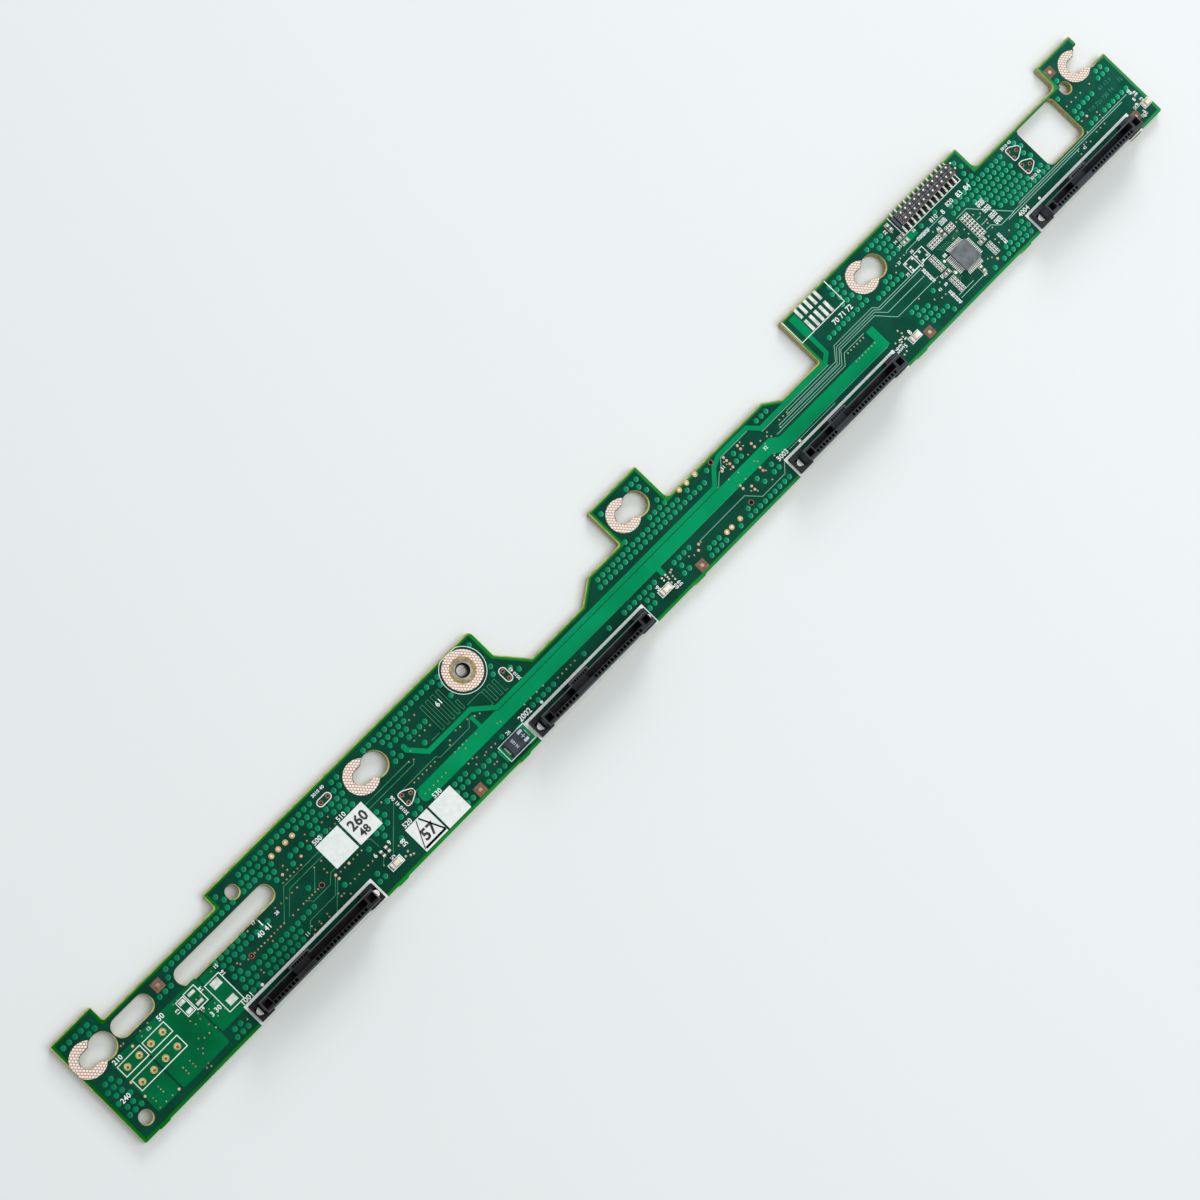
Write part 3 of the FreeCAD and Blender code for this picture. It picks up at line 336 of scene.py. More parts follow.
def rim_finish(settings):
    """Thin bare mask along the outer edge, which darkens inwards into the plain mask."""
    look = Look("mask_rim")
    edge = look.nodes.new("ShaderNodeUVMap")
    edge.uv_map = "across"
    deep = mask_green(look, settings)[0]
    patch = look.noise(60.0, 2.0)
    lit = look.mottle(patch, opaque(settings.rim_colour), TONES["rim_light"])
    dim = look.mottle(patch, TONES["rim_near_dark"], TONES["rim_near_light"])
    lit = look.blend(look.along(0.0, 0.3), dim, lit)
    lit = look.blend(look.along(0.4, 1.0), lit, TONES["rim_far"])
    inwards = look.spread(look.axis(edge.outputs["UV"], "X"), 0.0, 1.0, 0.6, 1.0)
    look.shade({"Base Color": look.blend(inwards, lit, deep), "Roughness": 0.42,
                "Specular IOR Level": MASK_LEVEL})
    return look.material


def land_finish():
    """Solder coated copper, stippled with the fine rows of its paste print."""
    look = Look("solder_coated_land")
    turn = look.add("Mapping", {"Vector": look.place, "Rotation": (0.0, 0.0, math.radians(48))})
    rows = look.add("TexBrick", {"Vector": turn.outputs["Vector"], "Scale": 1.0 / STIPPLE_PITCH,
                                 "Brick Width": 0.8, "Row Height": 0.72, "Mortar Size": 0.13,
                                 "Mortar Smooth": 0.4})
    soft = look.noise(1500.0)
    broken = look.spread(soft, 0.7, 1.0, 0.3, 0.55)
    worn = look.mottle(soft, TONES["land_gap"], TONES["land_worn"])
    colour = look.blend(look.multiply(rows.outputs["Fac"], broken), TONES["land_bead"], worn)
    rubbed = look.spread(look.noise(520.0, 2.0), 0.0, 0.6, 0.68, 0.76)
    look.shade({"Base Color": look.blend(rubbed, colour, TONES["land_rubbed"]), "Roughness": 0.45,
                "Metallic": 0.1, "Specular IOR Level": 0.3})
    look.bump(rows.outputs["Fac"], -0.4, 0.00003)
    return look.material


def disc_finish():
    """Mask over a small foil disc, with a painted highlight on one side of its slope and painted shade on the
    other.
    """
    look = Look("mask_over_disc")
    onward = look.along()
    top = look.mottle(look.noise(260.0, 2.0), TONES["disc_dark"], TONES["disc_light"])
    top = look.blend(onward, top, TONES["disc_far"])
    # Painted shade where the slope leans away from one direction, and a painted highlight where it leans
    # towards it, more so along the board
    slope = look.leaning((0.7, -0.7, 0.0))
    colour = look.blend(look.spread(slope, 0.0, 0.7, -0.06, -0.16), top, TONES["disc_painted_shade"])
    front = look.spread(slope, 0.0, 1.0, 0.05, 0.14)
    glint = look.multiply(front, look.spread(onward, 0.1, 0.9, 0.0, 1.0))
    look.shade({"Base Color": look.blend(glint, colour, TONES["disc_painted_glint"]), "Roughness": 0.35,
                "Specular IOR Level": MASK_LEVEL})
    return look.material


def pin_finish():
    """Plating with a painted highlight where it faces up and painted shade on its upright sides."""
    look = Look("tin_plated_pin")
    # Painted highlight on the tops that face up, mottled painted shade on the upright sides
    up = look.spread(look.axis(look.normal, "Z"), 0.0, 1.0, 0.3, 0.8)
    fine = look.noise(1400.0)
    worn = look.mottle(fine, TONES["pin_painted_shaded_side"], TONES["pin_painted_shaded_side_pale"])
    look.shade({"Base Color": look.blend(up, worn, TONES["pin_painted_lit_top"]),
                "Roughness": look.spread(fine, 0.3, 0.45), "Metallic": 0.2})
    return look.material


def pin_head_finish():
    """Turned pin with a painted reflection on one side of its nose and painted shade on the other."""
    look = Look("pin_metal")
    soft = look.noise(900.0)
    shaded_nose = look.mottle(soft, TONES["nose_painted_shade_dark"], TONES["nose_painted_shade_pale"])
    # Painted reflection on the side that leans towards minus x and plus y, painted shade on the other side
    lit = look.spread(look.leaning((-0.7, 0.7, 0.0)), 0.0, 1.0, -0.2, 0.3)
    look.shade({"Base Color": look.blend(lit, shaded_nose, TONES["nose_painted_highlight"]),
                "Roughness": look.spread(soft, 0.25, 0.4), "Metallic": 0.25})
    return look.material


def housing_finish():
    """Black moulding with a painted highlight on its sloped lead-ins, and paler towards the right end of the
    board.
    """
    look = Look("black_moulding")
    fine = look.noise(400.0)
    colour = look.mottle(fine, TONES["moulding_dark"], TONES["moulding_light"])
    colour = look.blend(look.along(0.3, 0.85), colour, TONES["moulding_far"])
    up = look.axis(look.normal, "Z")
    # Painted highlight on the sloped lead-ins, the faces that lean between upright and flat
    slope = look.multiply(look.spread(up, 0.0, 1.0, 0.3, 0.5), look.spread(up, 1.0, 0.0, 0.85, 0.97))
    look.shade({"Base Color": look.blend(slope, colour, TONES["moulding_painted_highlight"]),
                "Roughness": look.spread(fine, 0.35, 0.5), "Specular IOR Level": 0.2})
    look.bump(fine, 0.08, 0.00002)
    return look.material


def make_finishes(settings):
    """Every finish of the part, by name."""
    own = {"foil": settings.foil_colour, "ink": settings.ink_colour}
    for key, (name, dark, light, grain, rough, rest) in PLAIN_FINISHES.items():
        first = tone(*dark) if dark else opaque(own[key])
        more = {k: tone(*value) if k in ("far", "shade_below") else value for k, value in rest.items()}
        FINISHES[key] = finish(name, first, tone(*light), grain, rough, **more)
    FINISHES.update({"mask": mask_finish(settings), "rim": rim_finish(settings), "land": land_finish(),
                     "disc": disc_finish(), "pin": pin_finish(), "pin_head": pin_head_finish(),
                     "housing": housing_finish()})


def node_finish(name):
    """Finish of a CAD node, whose name may end in its number."""
    return FINISHES[NODE_FINISHES.get(name) or NODE_FINISHES[name.rstrip("0123456789").rstrip("_")]]


def mesh_from(name, shape):
    """Plain mesh from a mesh in the making."""
    mesh = bpy.data.meshes.new(name)
    shape.to_mesh(mesh)
    shape.free()
    return mesh


def piece(name, shape, look):
    """Object of the finished part, in place and riding on the board; a tree's mesh has its finish already."""
    mesh = shape if isinstance(shape, bpy.types.Mesh) else mesh_from(name, shape)
    made = bpy.data.objects.new(name, mesh)
    bpy.context.scene.collection.objects.link(made)
    if look is not None:
        mesh.materials.clear()
        mesh.materials.append(FINISHES[look])
    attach(made, BODY)


def walls(shape, below, above):
    """Faces between two rings of corners."""
    for i in range(len(below)):
        j = (i + 1) % len(below)
        shape.faces.new((below[i], below[j], above[j], above[i]))


def block(shape, base, crown):
    """Closed solid between two rings of points."""
    below = [shape.verts.new(point) for point in base]
    above = [shape.verts.new(point) for point in crown]
    shape.faces.new(above)
    shape.faces.new(below[::-1])
    walls(shape, below, above)


def plate(shape, points, low, high, inset=0.0):
    """Closed flat plate on an outline of points, given anticlockwise; the top may be inset."""
    middle = sum((Vector((p.x, p.y, 0)) for p in points), Vector()) / len(points)
    crown = []
    for p in points:
        out = Vector((p.x, p.y, 0)) - middle
        pull = min(inset / out.length, 0.5) if out.length else 0.0
        crown.append((p.x - out.x * pull, p.y - out.y * pull, high))
    block(shape, [(p.x, p.y, low) for p in points], crown)


def ring(shape, centre, inner, outer, high, sides):
    """Flat ring on the board."""
    rows = []
    for radius, z in ((outer, TOP), (outer, high), (inner, high), (inner, TOP)):
        rows.append([shape.verts.new((x, y, z)) for x, y in circle(centre.x, centre.y, radius, sides)])
    for below, above in zip(rows, rows[1:] + rows[:1]):
        walls(shape, below, above)


def plates(name, outlines, low, high, look, inset=0.0):
    """Piece of flat plates on outlines of points."""
    shape = bmesh.new()
    for points in outlines:
        plate(shape, points, low, high, inset)
    piece(name, shape, look)


def rectangle(u0, u1, w0, w1):
    """Corners of a box of the drawing, in metres."""
    return outline(box_route(u0, u1, w0, w1)[:-1])


def box_route(u0, u1, w0, w1):
    """Closed route round a box of the drawing."""
    return [(u0, w0), (u1, w0), (u1, w1), (u0, w1), (u0, w0)]


def rounded(points, radius, steps=4):
    """Outline of (u, w) corners with each corner rounded."""
    count = len(points)
    out = []
    for i in range(count):
        here = Vector(points[i])
        start = here + (Vector(points[i - 1]) - here).normalized() * radius
        end = here + (Vector(points[(i + 1) % count]) - here).normalized() * radius
        for k in range(steps + 1):
            t = k / steps
            out.append(tuple(start * (1 - t) ** 2 + here * (2 * t * (1 - t)) + end * t ** 2))
    return out


def circle(u, w, radius, sides=32, start=0.0, turn=360.0):
    """Points round a centre, from one angle through a turn, in degrees."""
    steps = sides if abs(turn) >= 360.0 else sides + 1
    angles = [math.radians(start + turn * i / sides) for i in range(steps)]
    return [(u + radius * math.cos(a), w + radius * math.sin(a)) for a in angles]


def thick_line(shape, start, end, width, low, high):
    """Flat bar between two (u, w) points, with its width in drawing units."""
    a = Vector(start)
    b = Vector(end)
    way = (b - a).normalized()
    side = Vector((-way.y, way.x)) * width / 2
    plate(shape, outline((a - side, b - side, b + side, a + side)), low, high)


def wire(tree, *links):
    """Links of a tree, each from a node's output to another node's input."""
    for start, output, end, entry in links:
        tree.links.new(start.outputs[output], end.inputs[entry])


def new_tree(name, lengths, counts=()):
    """Tree with a geometry input, the named inputs for lengths and counts, a material input and an output."""
    tree = bpy.data.node_groups.new(name, "GeometryNodeTree")
    face = tree.interface
    face.new_socket(name="Geometry", in_out="INPUT", socket_type="NodeSocketGeometry")
    for length in lengths:
        face.new_socket(name=length, in_out="INPUT", socket_type="NodeSocketFloat").subtype = "DISTANCE"
    for count in counts:
        face.new_socket(name=count, in_out="INPUT", socket_type="NodeSocketInt")
    face.new_socket(name="Finish", in_out="INPUT", socket_type="NodeSocketMaterial")
    face.new_socket(name="Geometry", in_out="OUTPUT", socket_type="NodeSocketGeometry")
    return tree, tree.nodes.new("NodeGroupInput")


def close_tree(tree, entry, last, output):
    """End of every tree: real meshes, then their material."""
    real = tree.nodes.new("GeometryNodeRealizeInstances")
    paint = tree.nodes.new("GeometryNodeSetMaterial")
    leave = tree.nodes.new("NodeGroupOutput")
    wire(tree, (last, output, real, "Geometry"), (real, "Geometry", paint, "Geometry"),
         (entry, "Finish", paint, "Material"), (paint, "Geometry", leave, "Geometry"))
    return tree


def disc_tree():
    """A low, sloped disc on every point."""
    tree, entry = new_tree("discs_on_points", ("Radius", "Crown Radius", "Height"), ("Sides",))
    cone = tree.nodes.new("GeometryNodeMeshCone")
    copies = tree.nodes.new("GeometryNodeInstanceOnPoints")
    wire(tree, (entry, "Sides", cone, "Vertices"), (entry, "Crown Radius", cone, "Radius Top"),
         (entry, "Radius", cone, "Radius Bottom"), (entry, "Height", cone, "Depth"),
         (entry, "Geometry", copies, "Points"), (cone, "Mesh", copies, "Instance"))
    return close_tree(tree, entry, copies, "Instances")


def line_tree():
    """A flat strip along every run of edges."""
    tree, entry = new_tree("strips_along_edges", ("Width", "Height"))
    path = tree.nodes.new("GeometryNodeMeshToCurve")
    upright = tree.nodes.new("GeometryNodeSetCurveNormal")
    upright.mode = "Z_UP"
    section = tree.nodes.new("GeometryNodeCurvePrimitiveQuadrilateral")
    strip = tree.nodes.new("GeometryNodeCurveToMesh")
    strip.inputs["Fill Caps"].default_value = True
    wire(tree, (entry, "Geometry", path, "Mesh"), (path, "Curve", upright, "Curve"),
         (entry, "Width", section, "Width"), (entry, "Height", section, "Height"),
         (upright, "Curve", strip, "Curve"), (section, "Curve", strip, "Profile Curve"))
    return close_tree(tree, entry, strip, "Mesh")


def run_tree(name, tree, points, edges, values, look):
    """Piece that the tree makes from points and edges with the given inputs."""
    source = bpy.data.meshes.new(name + "_source")
    source.from_pydata(points, edges, [])
    carrier = bpy.data.objects.new(name + "_source", source)
    bpy.context.scene.collection.objects.link(carrier)
    modifier = carrier.modifiers.new("tree", "NODES")
    modifier.node_group = tree
    values["Finish"] = FINISHES[look]
    for item in tree.interface.items_tree:
        if item.item_type == "SOCKET" and item.in_out == "INPUT" and item.name in values:
            modifier[item.identifier] = values[item.name]
    depsgraph = bpy.context.evaluated_depsgraph_get()
    mesh = bpy.data.meshes.new_from_object(carrier.evaluated_get(depsgraph))
    mesh.name = name
    bpy.data.objects.remove(carrier)
    bpy.data.meshes.remove(source)
    piece(name, mesh, None)


def discs(name, places, z, look, form=None):
    """Piece of sloped discs, whose form is a foot radius, a crown radius, a height and a number of sides."""
    values = dict(zip(("Radius", "Crown Radius", "Height", "Sides"), form or DISC_FORMS[name]))
    run_tree(name, disc_tree(), [at(u, w, z) for u, w in places], [], values, look)


def lines(name, routes, width, z, look):
    """Piece of flat strips along routes of (u, w) points; a route that ends where it starts is closed."""
    points = []
    edges = []
    for route in routes:
        closed = route[0] == route[-1]
        body = route[:-1] if closed else route
        first = len(points)
        points += [at(u, w, z) for u, w in body]
        edges += [(first + i, first + i + 1) for i in range(len(body) - 1)]
        if closed:
            edges.append((first + len(body) - 1, first))
    run_tree(name, line_tree(), points, edges, {"Width": width, "Height": 2 * LAYER}, look)


# Rows of fill discs: across the board, then where each run starts and how many it has
DOT_PITCH = 2.067
DOT_ROWS = {
    32.85: ((2.4, 5), (57.7, 1), (66.1, 14), (101.3, 2), (113.6, 15), (155.2, 1), (208.8, 1), (219.2, 3),
            (306.4, 3), (323.1, 4), (362.5, 1)),
    30.75: ((9.5, 2), (58.8, 1), (65.1, 5), (85.8, 4), (100.2, 2), (118.9, 5), (141.6, 1), (222.3, 1),
            (305.4, 3), (326.2, 3), (363.5, 1)),
    28.65: ((35.2, 13), (64.0, 6), (88.9, 7), (119.9, 4), (223.3, 1), (306.4, 2), (327.2, 2), (362.4, 1),
            (405.8, 1)),
    26.6: ((34.1, 1), (71.3, 2), (79.5, 3), (87.8, 2), (96.1, 3), (118.8, 1), (125.1, 4), (141.6, 1),
           (305.4, 3), (326.1, 3), (340.7, 1), (346.9, 1), (361.4, 2)),
    24.55: ((29.0, 3), (72.3, 1), (78.5, 1), (84.6, 1), (88.8, 2), (99.1, 2), (117.8, 2), (155.2, 1),
            (223.3, 1), (310.7, 1), (351.9, 12), (381.0, 1), (401.6, 1)),
    22.5: ((127.1, 1), (154.1, 1), (207.8, 1), (218.1, 4), (295.1, 9), (320.0, 2), (350.9, 12), (382.0, 1),
           (417.2, 2)),
    20.45: ((45.4, 6), (158.9, 1), (194.4, 17), (231.6, 1), (239.9, 1), (261.1, 3), (314.8, 6), (358.3, 9),
            (380.9, 1), (416.1, 3)),
    18.45: ((3.3, 2), (46.4, 9), (104.2, 1), (108.4, 1), (160.4, 1), (193.4, 22), (249.2, 1), (361.4, 7),
            (382.0, 1), (402.6, 5)),
    17.0: ((76.7, 1),),
    16.35: ((2.3, 3), (47.4, 1), (51.6, 1), (103.2, 2), (248.2, 2), (362.3, 7), (401.6, 2)),
    14.3: ((3.3, 2), (46.4, 2), (100.1, 3), (363.4, 7), (379.8, 2)),
    12.35: ((2.3, 1), (6.4, 1), (47.4, 14), (101.2, 1), (366.5, 9), (403.7, 2), (409.9, 6)),
    12.8: ((95.6, 1), (108.0, 1), (114.2, 1)),
    10.2: ((3.3, 2), (46.4, 3), (54.7, 7)),
    10.7: ((84.2, 1), (111.2, 2), (318.9, 2), (328.5, 1)),
    8.2: ((2.3, 3), (47.4, 2), (53.7, 7)),
    8.65: ((103.9, 1), (124.7, 3), (143.3, 1), (155.8, 5), (176.4, 1), (186.7, 1), (193.0, 7), (213.6, 4),
           (248.8, 1), (254.9, 1), (319.8, 3)),
    6.55: ((92.5, 1), (123.6, 8), (200.2, 2), (214.6, 1), (249.8, 1), (253.9, 2), (318.8, 4), (362.3, 2)),
    4.5: ((36.8, 2), (91.5, 2), (124.7, 1), (133.0, 1), (199.2, 2), (213.6, 2), (224.0, 3), (240.5, 1),
          (321.9, 4), (354.9, 6)),
    2.5: ((35.8, 3), (123.6, 2), (131.9, 4), (223.0, 4), (235.3, 1), (239.5, 9), (329.1, 1), (347.7, 1),
          (351.9, 7)),
}

# Small plated vias: rows with an even step as (w, u, step, count),
# then single ones, then the larger test points
VIA_ROWS = (
    (14.9, 52.2, 1.22, 12), (14.75, 68.8, 2.0, 2), (14.9, 72.9, 1.1, 6), (22.7, 73.0, 1.36, 6),
    (19.2, 68.8, 2.0, 4), (13.9, 86.0, 1.6, 6), (9.8, 85.6, 1.7, 6), (16.75, 117.3, 1.6, 6),
    (12.5, 117.3, 1.6, 6), (14.75, 131.2, 1.5, 4), (9.0, 166.4, 1.7, 5), (15.4, 295.8, 1.35, 6),
    (12.0, 295.8, 1.35, 7), (21.0, 402.0, 2.15, 4), (10.4, 154.3, 2.5, 4), (24.8, 125.5, 2.05, 4),
    (3.9, 9.1, 2.2, 3), (7.0, 20.4, 2.5, 2), (5.9, 20.4, 2.5, 2), (4.9, 20.4, 2.5, 2),
    (15.9, 266.3, 1.65, 3), (9.3, 402.9, 1.9, 3),
)
VIA_PLACES = (
    (9.5, 7.0), (9.5, 5.9), (12.5, 8.2), (12.5, 7.2), (12.5, 6.3), (26.5, 7.7), (27.5, 6.9), (26.6, 5.9),
    (28.5, 9.5), (29.7, 8.5), (31.5, 8.5), (33.7, 8.3), (24.7, 2.5), (25.8, 3.1), (25.8, 2.0), (30.2, 14.3),
    (33.1, 14.3), (30.6, 12.7), (32.4, 12.8), (34.4, 13.5), (35.8, 13.0), (38.0, 13.0), (36.2, 10.1),
    (33.0, 10.2), (38.8, 10.1), (18.7, 20.5), (21.9, 20.5), (43.1, 19.6), (41.0, 3.9), (13.1, 22.6),
    (14.0, 22.6), (19.3, 21.8), (22.1, 21.9), (30.1, 20.6), (31.6, 20.6), (35.2, 17.2), (36.6, 17.1),
    (49.4, 16.3), (49.9, 15.5), (52.6, 10.5), (52.6, 9.5), (60.2, 13.7), (57.3, 20.3), (61.2, 20.7),
    (66.8, 19.5), (81.8, 19.7), (84.4, 19.7), (83.4, 17.6), (83.3, 16.3), (76.2, 26.0), (86.3, 27.8),
    (85.5, 26.2), (91.9, 26.9), (94.1, 26.8), (76.3, 24.4), (92.3, 24.1), (94.1, 24.1), (107.1, 19.3),
    (81.4, 10.2), (81.5, 9.1), (82.5, 9.1), (70.2, 9.1), (70.2, 7.8), (72.5, 8.5), (72.5, 7.7), (75.4, 8.5),
    (75.3, 7.5), (83.7, 7.8), (69.2, 7.0), (78.0, 7.0), (102.0, 7.7), (95.4, 6.8), (128.6, 29.8),
    (130.6, 29.8), (122.8, 23.6), (120.3, 21.8), (121.7, 21.3), (135.6, 18.8), (137.2, 18.6), (140.1, 18.7),
    (132.5, 18.0), (131.6, 17.1), (142.2, 17.9), (143.7, 17.4), (138.9, 14.2), (134.0, 13.4), (145.2, 12.1),
    (146.2, 11.8), (131.5, 9.9), (133.3, 10.1), (134.4, 9.5), (132.9, 8.2), (136.4, 8.3), (137.3, 8.7),
    (139.2, 8.6), (140.7, 8.5), (136.5, 4.7), (137.5, 4.7), (223.5, 7.3), (218.1, 6.8), (219.4, 6.0),
    (245.4, 18.6), (245.5, 17.6), (245.3, 15.8), (253.0, 19.4), (253.0, 18.0), (252.1, 15.2), (257.7, 15.5),
    (260.1, 15.1), (261.0, 15.9), (258.1, 14.0), (261.0, 14.2), (242.7, 14.1), (246.2, 13.6), (252.0, 12.7),
    (252.7, 11.9), (246.3, 10.9), (252.5, 8.4), (257.5, 9.7), (257.5, 8.4), (245.0, 7.3), (246.4, 6.0),
    (251.9, 5.3), (264.9, 14.2), (333.0, 33.3), (332.8, 31.2), (328.7, 24.1), (330.2, 24.0), (324.5, 22.0),
    (326.0, 23.4), (342.0, 22.8), (343.6, 20.2), (345.1, 17.2), (347.6, 18.1), (349.5, 20.0), (349.6, 16.8),
    (349.6, 15.0), (355.0, 18.0), (356.9, 16.8), (357.0, 14.2), (356.4, 13.2), (356.4, 11.3), (353.5, 10.3),
    (354.3, 8.3), (354.4, 6.8), (359.5, 7.2), (348.1, 5.8), (349.4, 5.2), (326.9, 8.5), (329.0, 7.3),
    (330.6, 7.3), (332.0, 11.0), (323.6, 11.9), (412.7, 21.0), (402.0, 14.7), (400.7, 11.2), (407.7, 13.4),
    (407.7, 12.2), (407.7, 10.9), (394.0, 9.1), (396.9, 9.3), (398.0, 9.3), (399.2, 8.5), (394.0, 7.8),
)
LARGE_VIA_PLACES = (
    (8.4, 14.0), (8.4, 8.8), (15.8, 3.8), (15.2, 20.4), (74.5, 24.4), (81.5, 24.4), (84.4, 14.2),
    (84.4, 12.9), (89.2, 13.9), (222.6, 7.3), (221.3, 6.1), (246.3, 19.6), (246.3, 18.4), (246.3, 17.1),
    (246.3, 15.8), (243.1, 17.1), (251.8, 19.2), (251.8, 17.9), (255.2, 16.8), (255.2, 15.5), (243.8, 10.6),
    (243.8, 9.4), (251.9, 10.2), (251.9, 9.0), (246.1, 8.2), (246.1, 6.9), (350.4, 3.8), (404.4, 14.7),
)
VIA_CROWN = 0.6
VIA_HEIGHT = 0.00009
TEST_POINT_CROWN = 0.75
TEST_POINT_HEIGHT = 0.0001

# Foil lines under the mask, and meanders as (u, pitch, count, low w, high w) with the line that joins them
TRACKS = (
    ((65.7, 14.9), (72.4, 21.9), (120.3, 21.9)), ((67.8, 15.1), (73.2, 20.4), (120.8, 20.4), (121.8, 21.4)),
    ((77.2, 14.9), (81.7, 19.5)), ((74.3, 14.8), (75.2, 13.4), (81.6, 13.4), (84.0, 15.6), (103.0, 15.6)),
    ((84.3, 14.2), (80.5, 10.4), (71.0, 10.4), (69.0, 8.4)), ((84.2, 13.2), (78.0, 7.3)),
    ((109.5, 17.0), (99.5, 7.3)),
    ((113.5, 17.6), (126.5, 17.6), (127.3, 16.6), (138.7, 16.6), (140.5, 18.4)),
    ((190.0, 14.7), (239.0, 14.7), (242.1, 17.4), (243.2, 17.6), (245.7, 20.2), (257.0, 20.2)),
    ((170.0, 10.6), (242.5, 10.6), (243.2, 11.2), (248.0, 11.2), (248.8, 11.0), (257.0, 11.0), (258.2, 9.9)),
    ((260.0, 17.05), (289.0, 17.05)), ((262.0, 8.6), (306.0, 8.6)), ((262.0, 7.9), (282.0, 7.9)),
    ((223.5, 7.7), (242.5, 7.7), (246.2, 3.9), (255.8, 3.9), (258.3, 6.4)),
    ((270.0, 16.2), (291.2, 16.2), (294.4, 19.8), (311.2, 19.8), (312.6, 18.4), (333.0, 18.4)),
    ((269.0, 15.4), (291.0, 15.4), (294.6, 19.0), (311.0, 19.0), (312.6, 17.7), (331.0, 17.7)),
    ((265.0, 14.9), (291.6, 14.9), (295.0, 18.3), (310.8, 18.3), (313.7, 15.5), (330.0, 15.5)),
    ((265.0, 14.1), (291.8, 14.1), (295.0, 17.6), (310.0, 17.6), (314.9, 12.5), (333.0, 12.5)),
    ((262.6, 13.4), (292.4, 13.4), (295.0, 16.2), (303.6, 16.2)), ((365.0, 10.2), (416.0, 10.2)),
    ((362.0, 9.5), (395.0, 9.5)), ((350.3, 20.7), (354.9, 20.7), (365.0, 10.2)),
    ((331.0, 23.9), (332.0, 24.4), (348.0, 24.4)), ((333.4, 4.3), (340.0, 4.3)),
    ((333.4, 3.2), (345.0, 3.2)), ((354.6, 16.2), (356.4, 16.2)),
    ((96.8, 15.2), (98.0, 14.3), (98.1, 11.3)), ((95.3, 6.9), (97.0, 8.4), (98.9, 8.5)),
    ((368.0, 10.85), (418.8, 10.85)), ((354.6, 14.1), (357.0, 14.1)),
    ((354.6, 12.2), (356.6, 12.2), (359.0, 10.0), (365.0, 10.0)),
)
SERPENTINES = ((133.1, 2.05, 4, 21.5, 30.2), (141.3, 1.6, 1, 21.5, 24.5), (148.4, 2.0, 3, 16.8, 21.3))
MEANDER_LINK = ((129.0, 21.5), (147.8, 21.5), (148.4, 21.0))
SERPENTINE_RUN_IN = 1.0

# Lines that fan out of the chip: how many on a side, their least
# straight run, what it gains at the ends, the bend
FAN_COUNT = 11
FAN_RUN = 0.5
FAN_GAIN = 0.9
FAN_BEND = 1.1
FAN_START = 0.1

# Widths as shares of the track's and the print line's
MEANDER_SHARE = 0.8
FAN_SHARE = 0.55
RING_SHARE = 0.8
GUIDE_SHARE = 0.55
FRAME_SHARE = 0.5

# White print: boxes as (u, u, w, w), open shapes as routes, marks
# of the first pins, and ovals round test holes
PRINT_BOXES = (
    (8.6, 16.6, 15.7, 19.3), (17.4, 25.2, 15.7, 19.2), (8.9, 25.2, 10.3, 14.2), (30.7, 33.3, 15.4, 20.3),
    (33.7, 37.4, 14.9, 20.5), (39.1, 44.3, 8.5, 18.1), (140.35, 150.2, 1.9, 7.1), (96.0, 100.4, 3.8, 5.9),
    (204.0, 208.4, 3.8, 5.9), (312.0, 316.2, 3.8, 5.9), (419.8, 423.1, 3.8, 5.9),
    (327.9, 331.6, 18.6, 22.2), (332.3, 336.1, 18.6, 22.2),
)
PRINT_OPEN = (
    ((334.8, 35.15), (334.8, 27.9), (360.1, 27.9), (360.1, 35.15)),
    ((288.1, 35.15), (288.1, 26.8), (306.6, 26.8), (306.6, 35.15)),
)
PIN_MARKS = ((50.1, 7.5), (158.2, 7.5), (266.1, 7.5), (373.9, 7.5), (337.8, 14.3), (337.8, 9.6))
OVALS = ((94.3, 99.0, 29.75, 31.85), (155.5, 157.75, 17.6, 22.2))

# Rounded triangle round three test holes: its corners, their radius, and where each one stands
PEAR_CORNERS = ((0.2, 0.2), (1.85, 0.2), (4.65, 1.72), (4.65, 2.98), (1.85, 4.5), (0.2, 4.5))
PEAR_RADIUS = 0.7
PEARS = ((111.2, 13.1), (376.8, 20.2), (376.8, 14.6))

# Printed circle round the guide bush, and how far across the board it may go
GUIDE_PRINT_RADIUS = 6.7
GUIDE_PRINT_DROP = 0.05
GUIDE_PRINT_SIDES = 64
PRINT_LIMIT = 35.15

# Printed frames of the small chips from one place along the board
# on: margin at the sides, and more at the ends
FRAMES_FROM = 322.0
FRAME_SIDES = (("chip_resistors", 0.22), ("ceramic_capacitors", 0.25))
FRAME_END = 0.3

# Pads: silver ones as (u, u, w, w), those of the socket and of the
# header, small square ones and beads of solder
SILVER_PADS = (
    (31.0, 33.0, 18.7, 20.0), (31.0, 33.0, 15.7, 17.0), (34.3, 36.7, 18.8, 19.8), (34.3, 36.7, 15.6, 16.6),
    (40.3, 43.3, 15.3, 17.6), (40.3, 43.3, 9.4, 11.6), (148.0, 149.2, 3.2, 5.8),
)
SILVER_INSET = 0.0002
SOCKET_PAD_FIRST = 293.2
SOCKET_PAD_PITCH = 2.08
SOCKET_PAD_COUNT = 5
SOCKET_PAD_WIDTH = 1.1
SOCKET_PADS_W = ((31.9, 35.3), (27.1, 31.0))
SOCKET_PAD_INSET = 0.0001
HEADER_COLUMNS = 12
HEADER_PADS_W = ((33.6, 35.3), (28.1, 30.2))
HEADER_PAD_HALF = 0.38
SMALL_PADS = (
    (334.4, 21.5), (333.4, 18.9), (332.6, 21.1), (335.4, 19.3), (331.2, 21.6), (328.6, 21.8), (328.9, 20.1),
    (328.9, 19.0),
)
SMALL_PAD_HALF = 0.4
SMALL_PAD_INSET = 0.00008
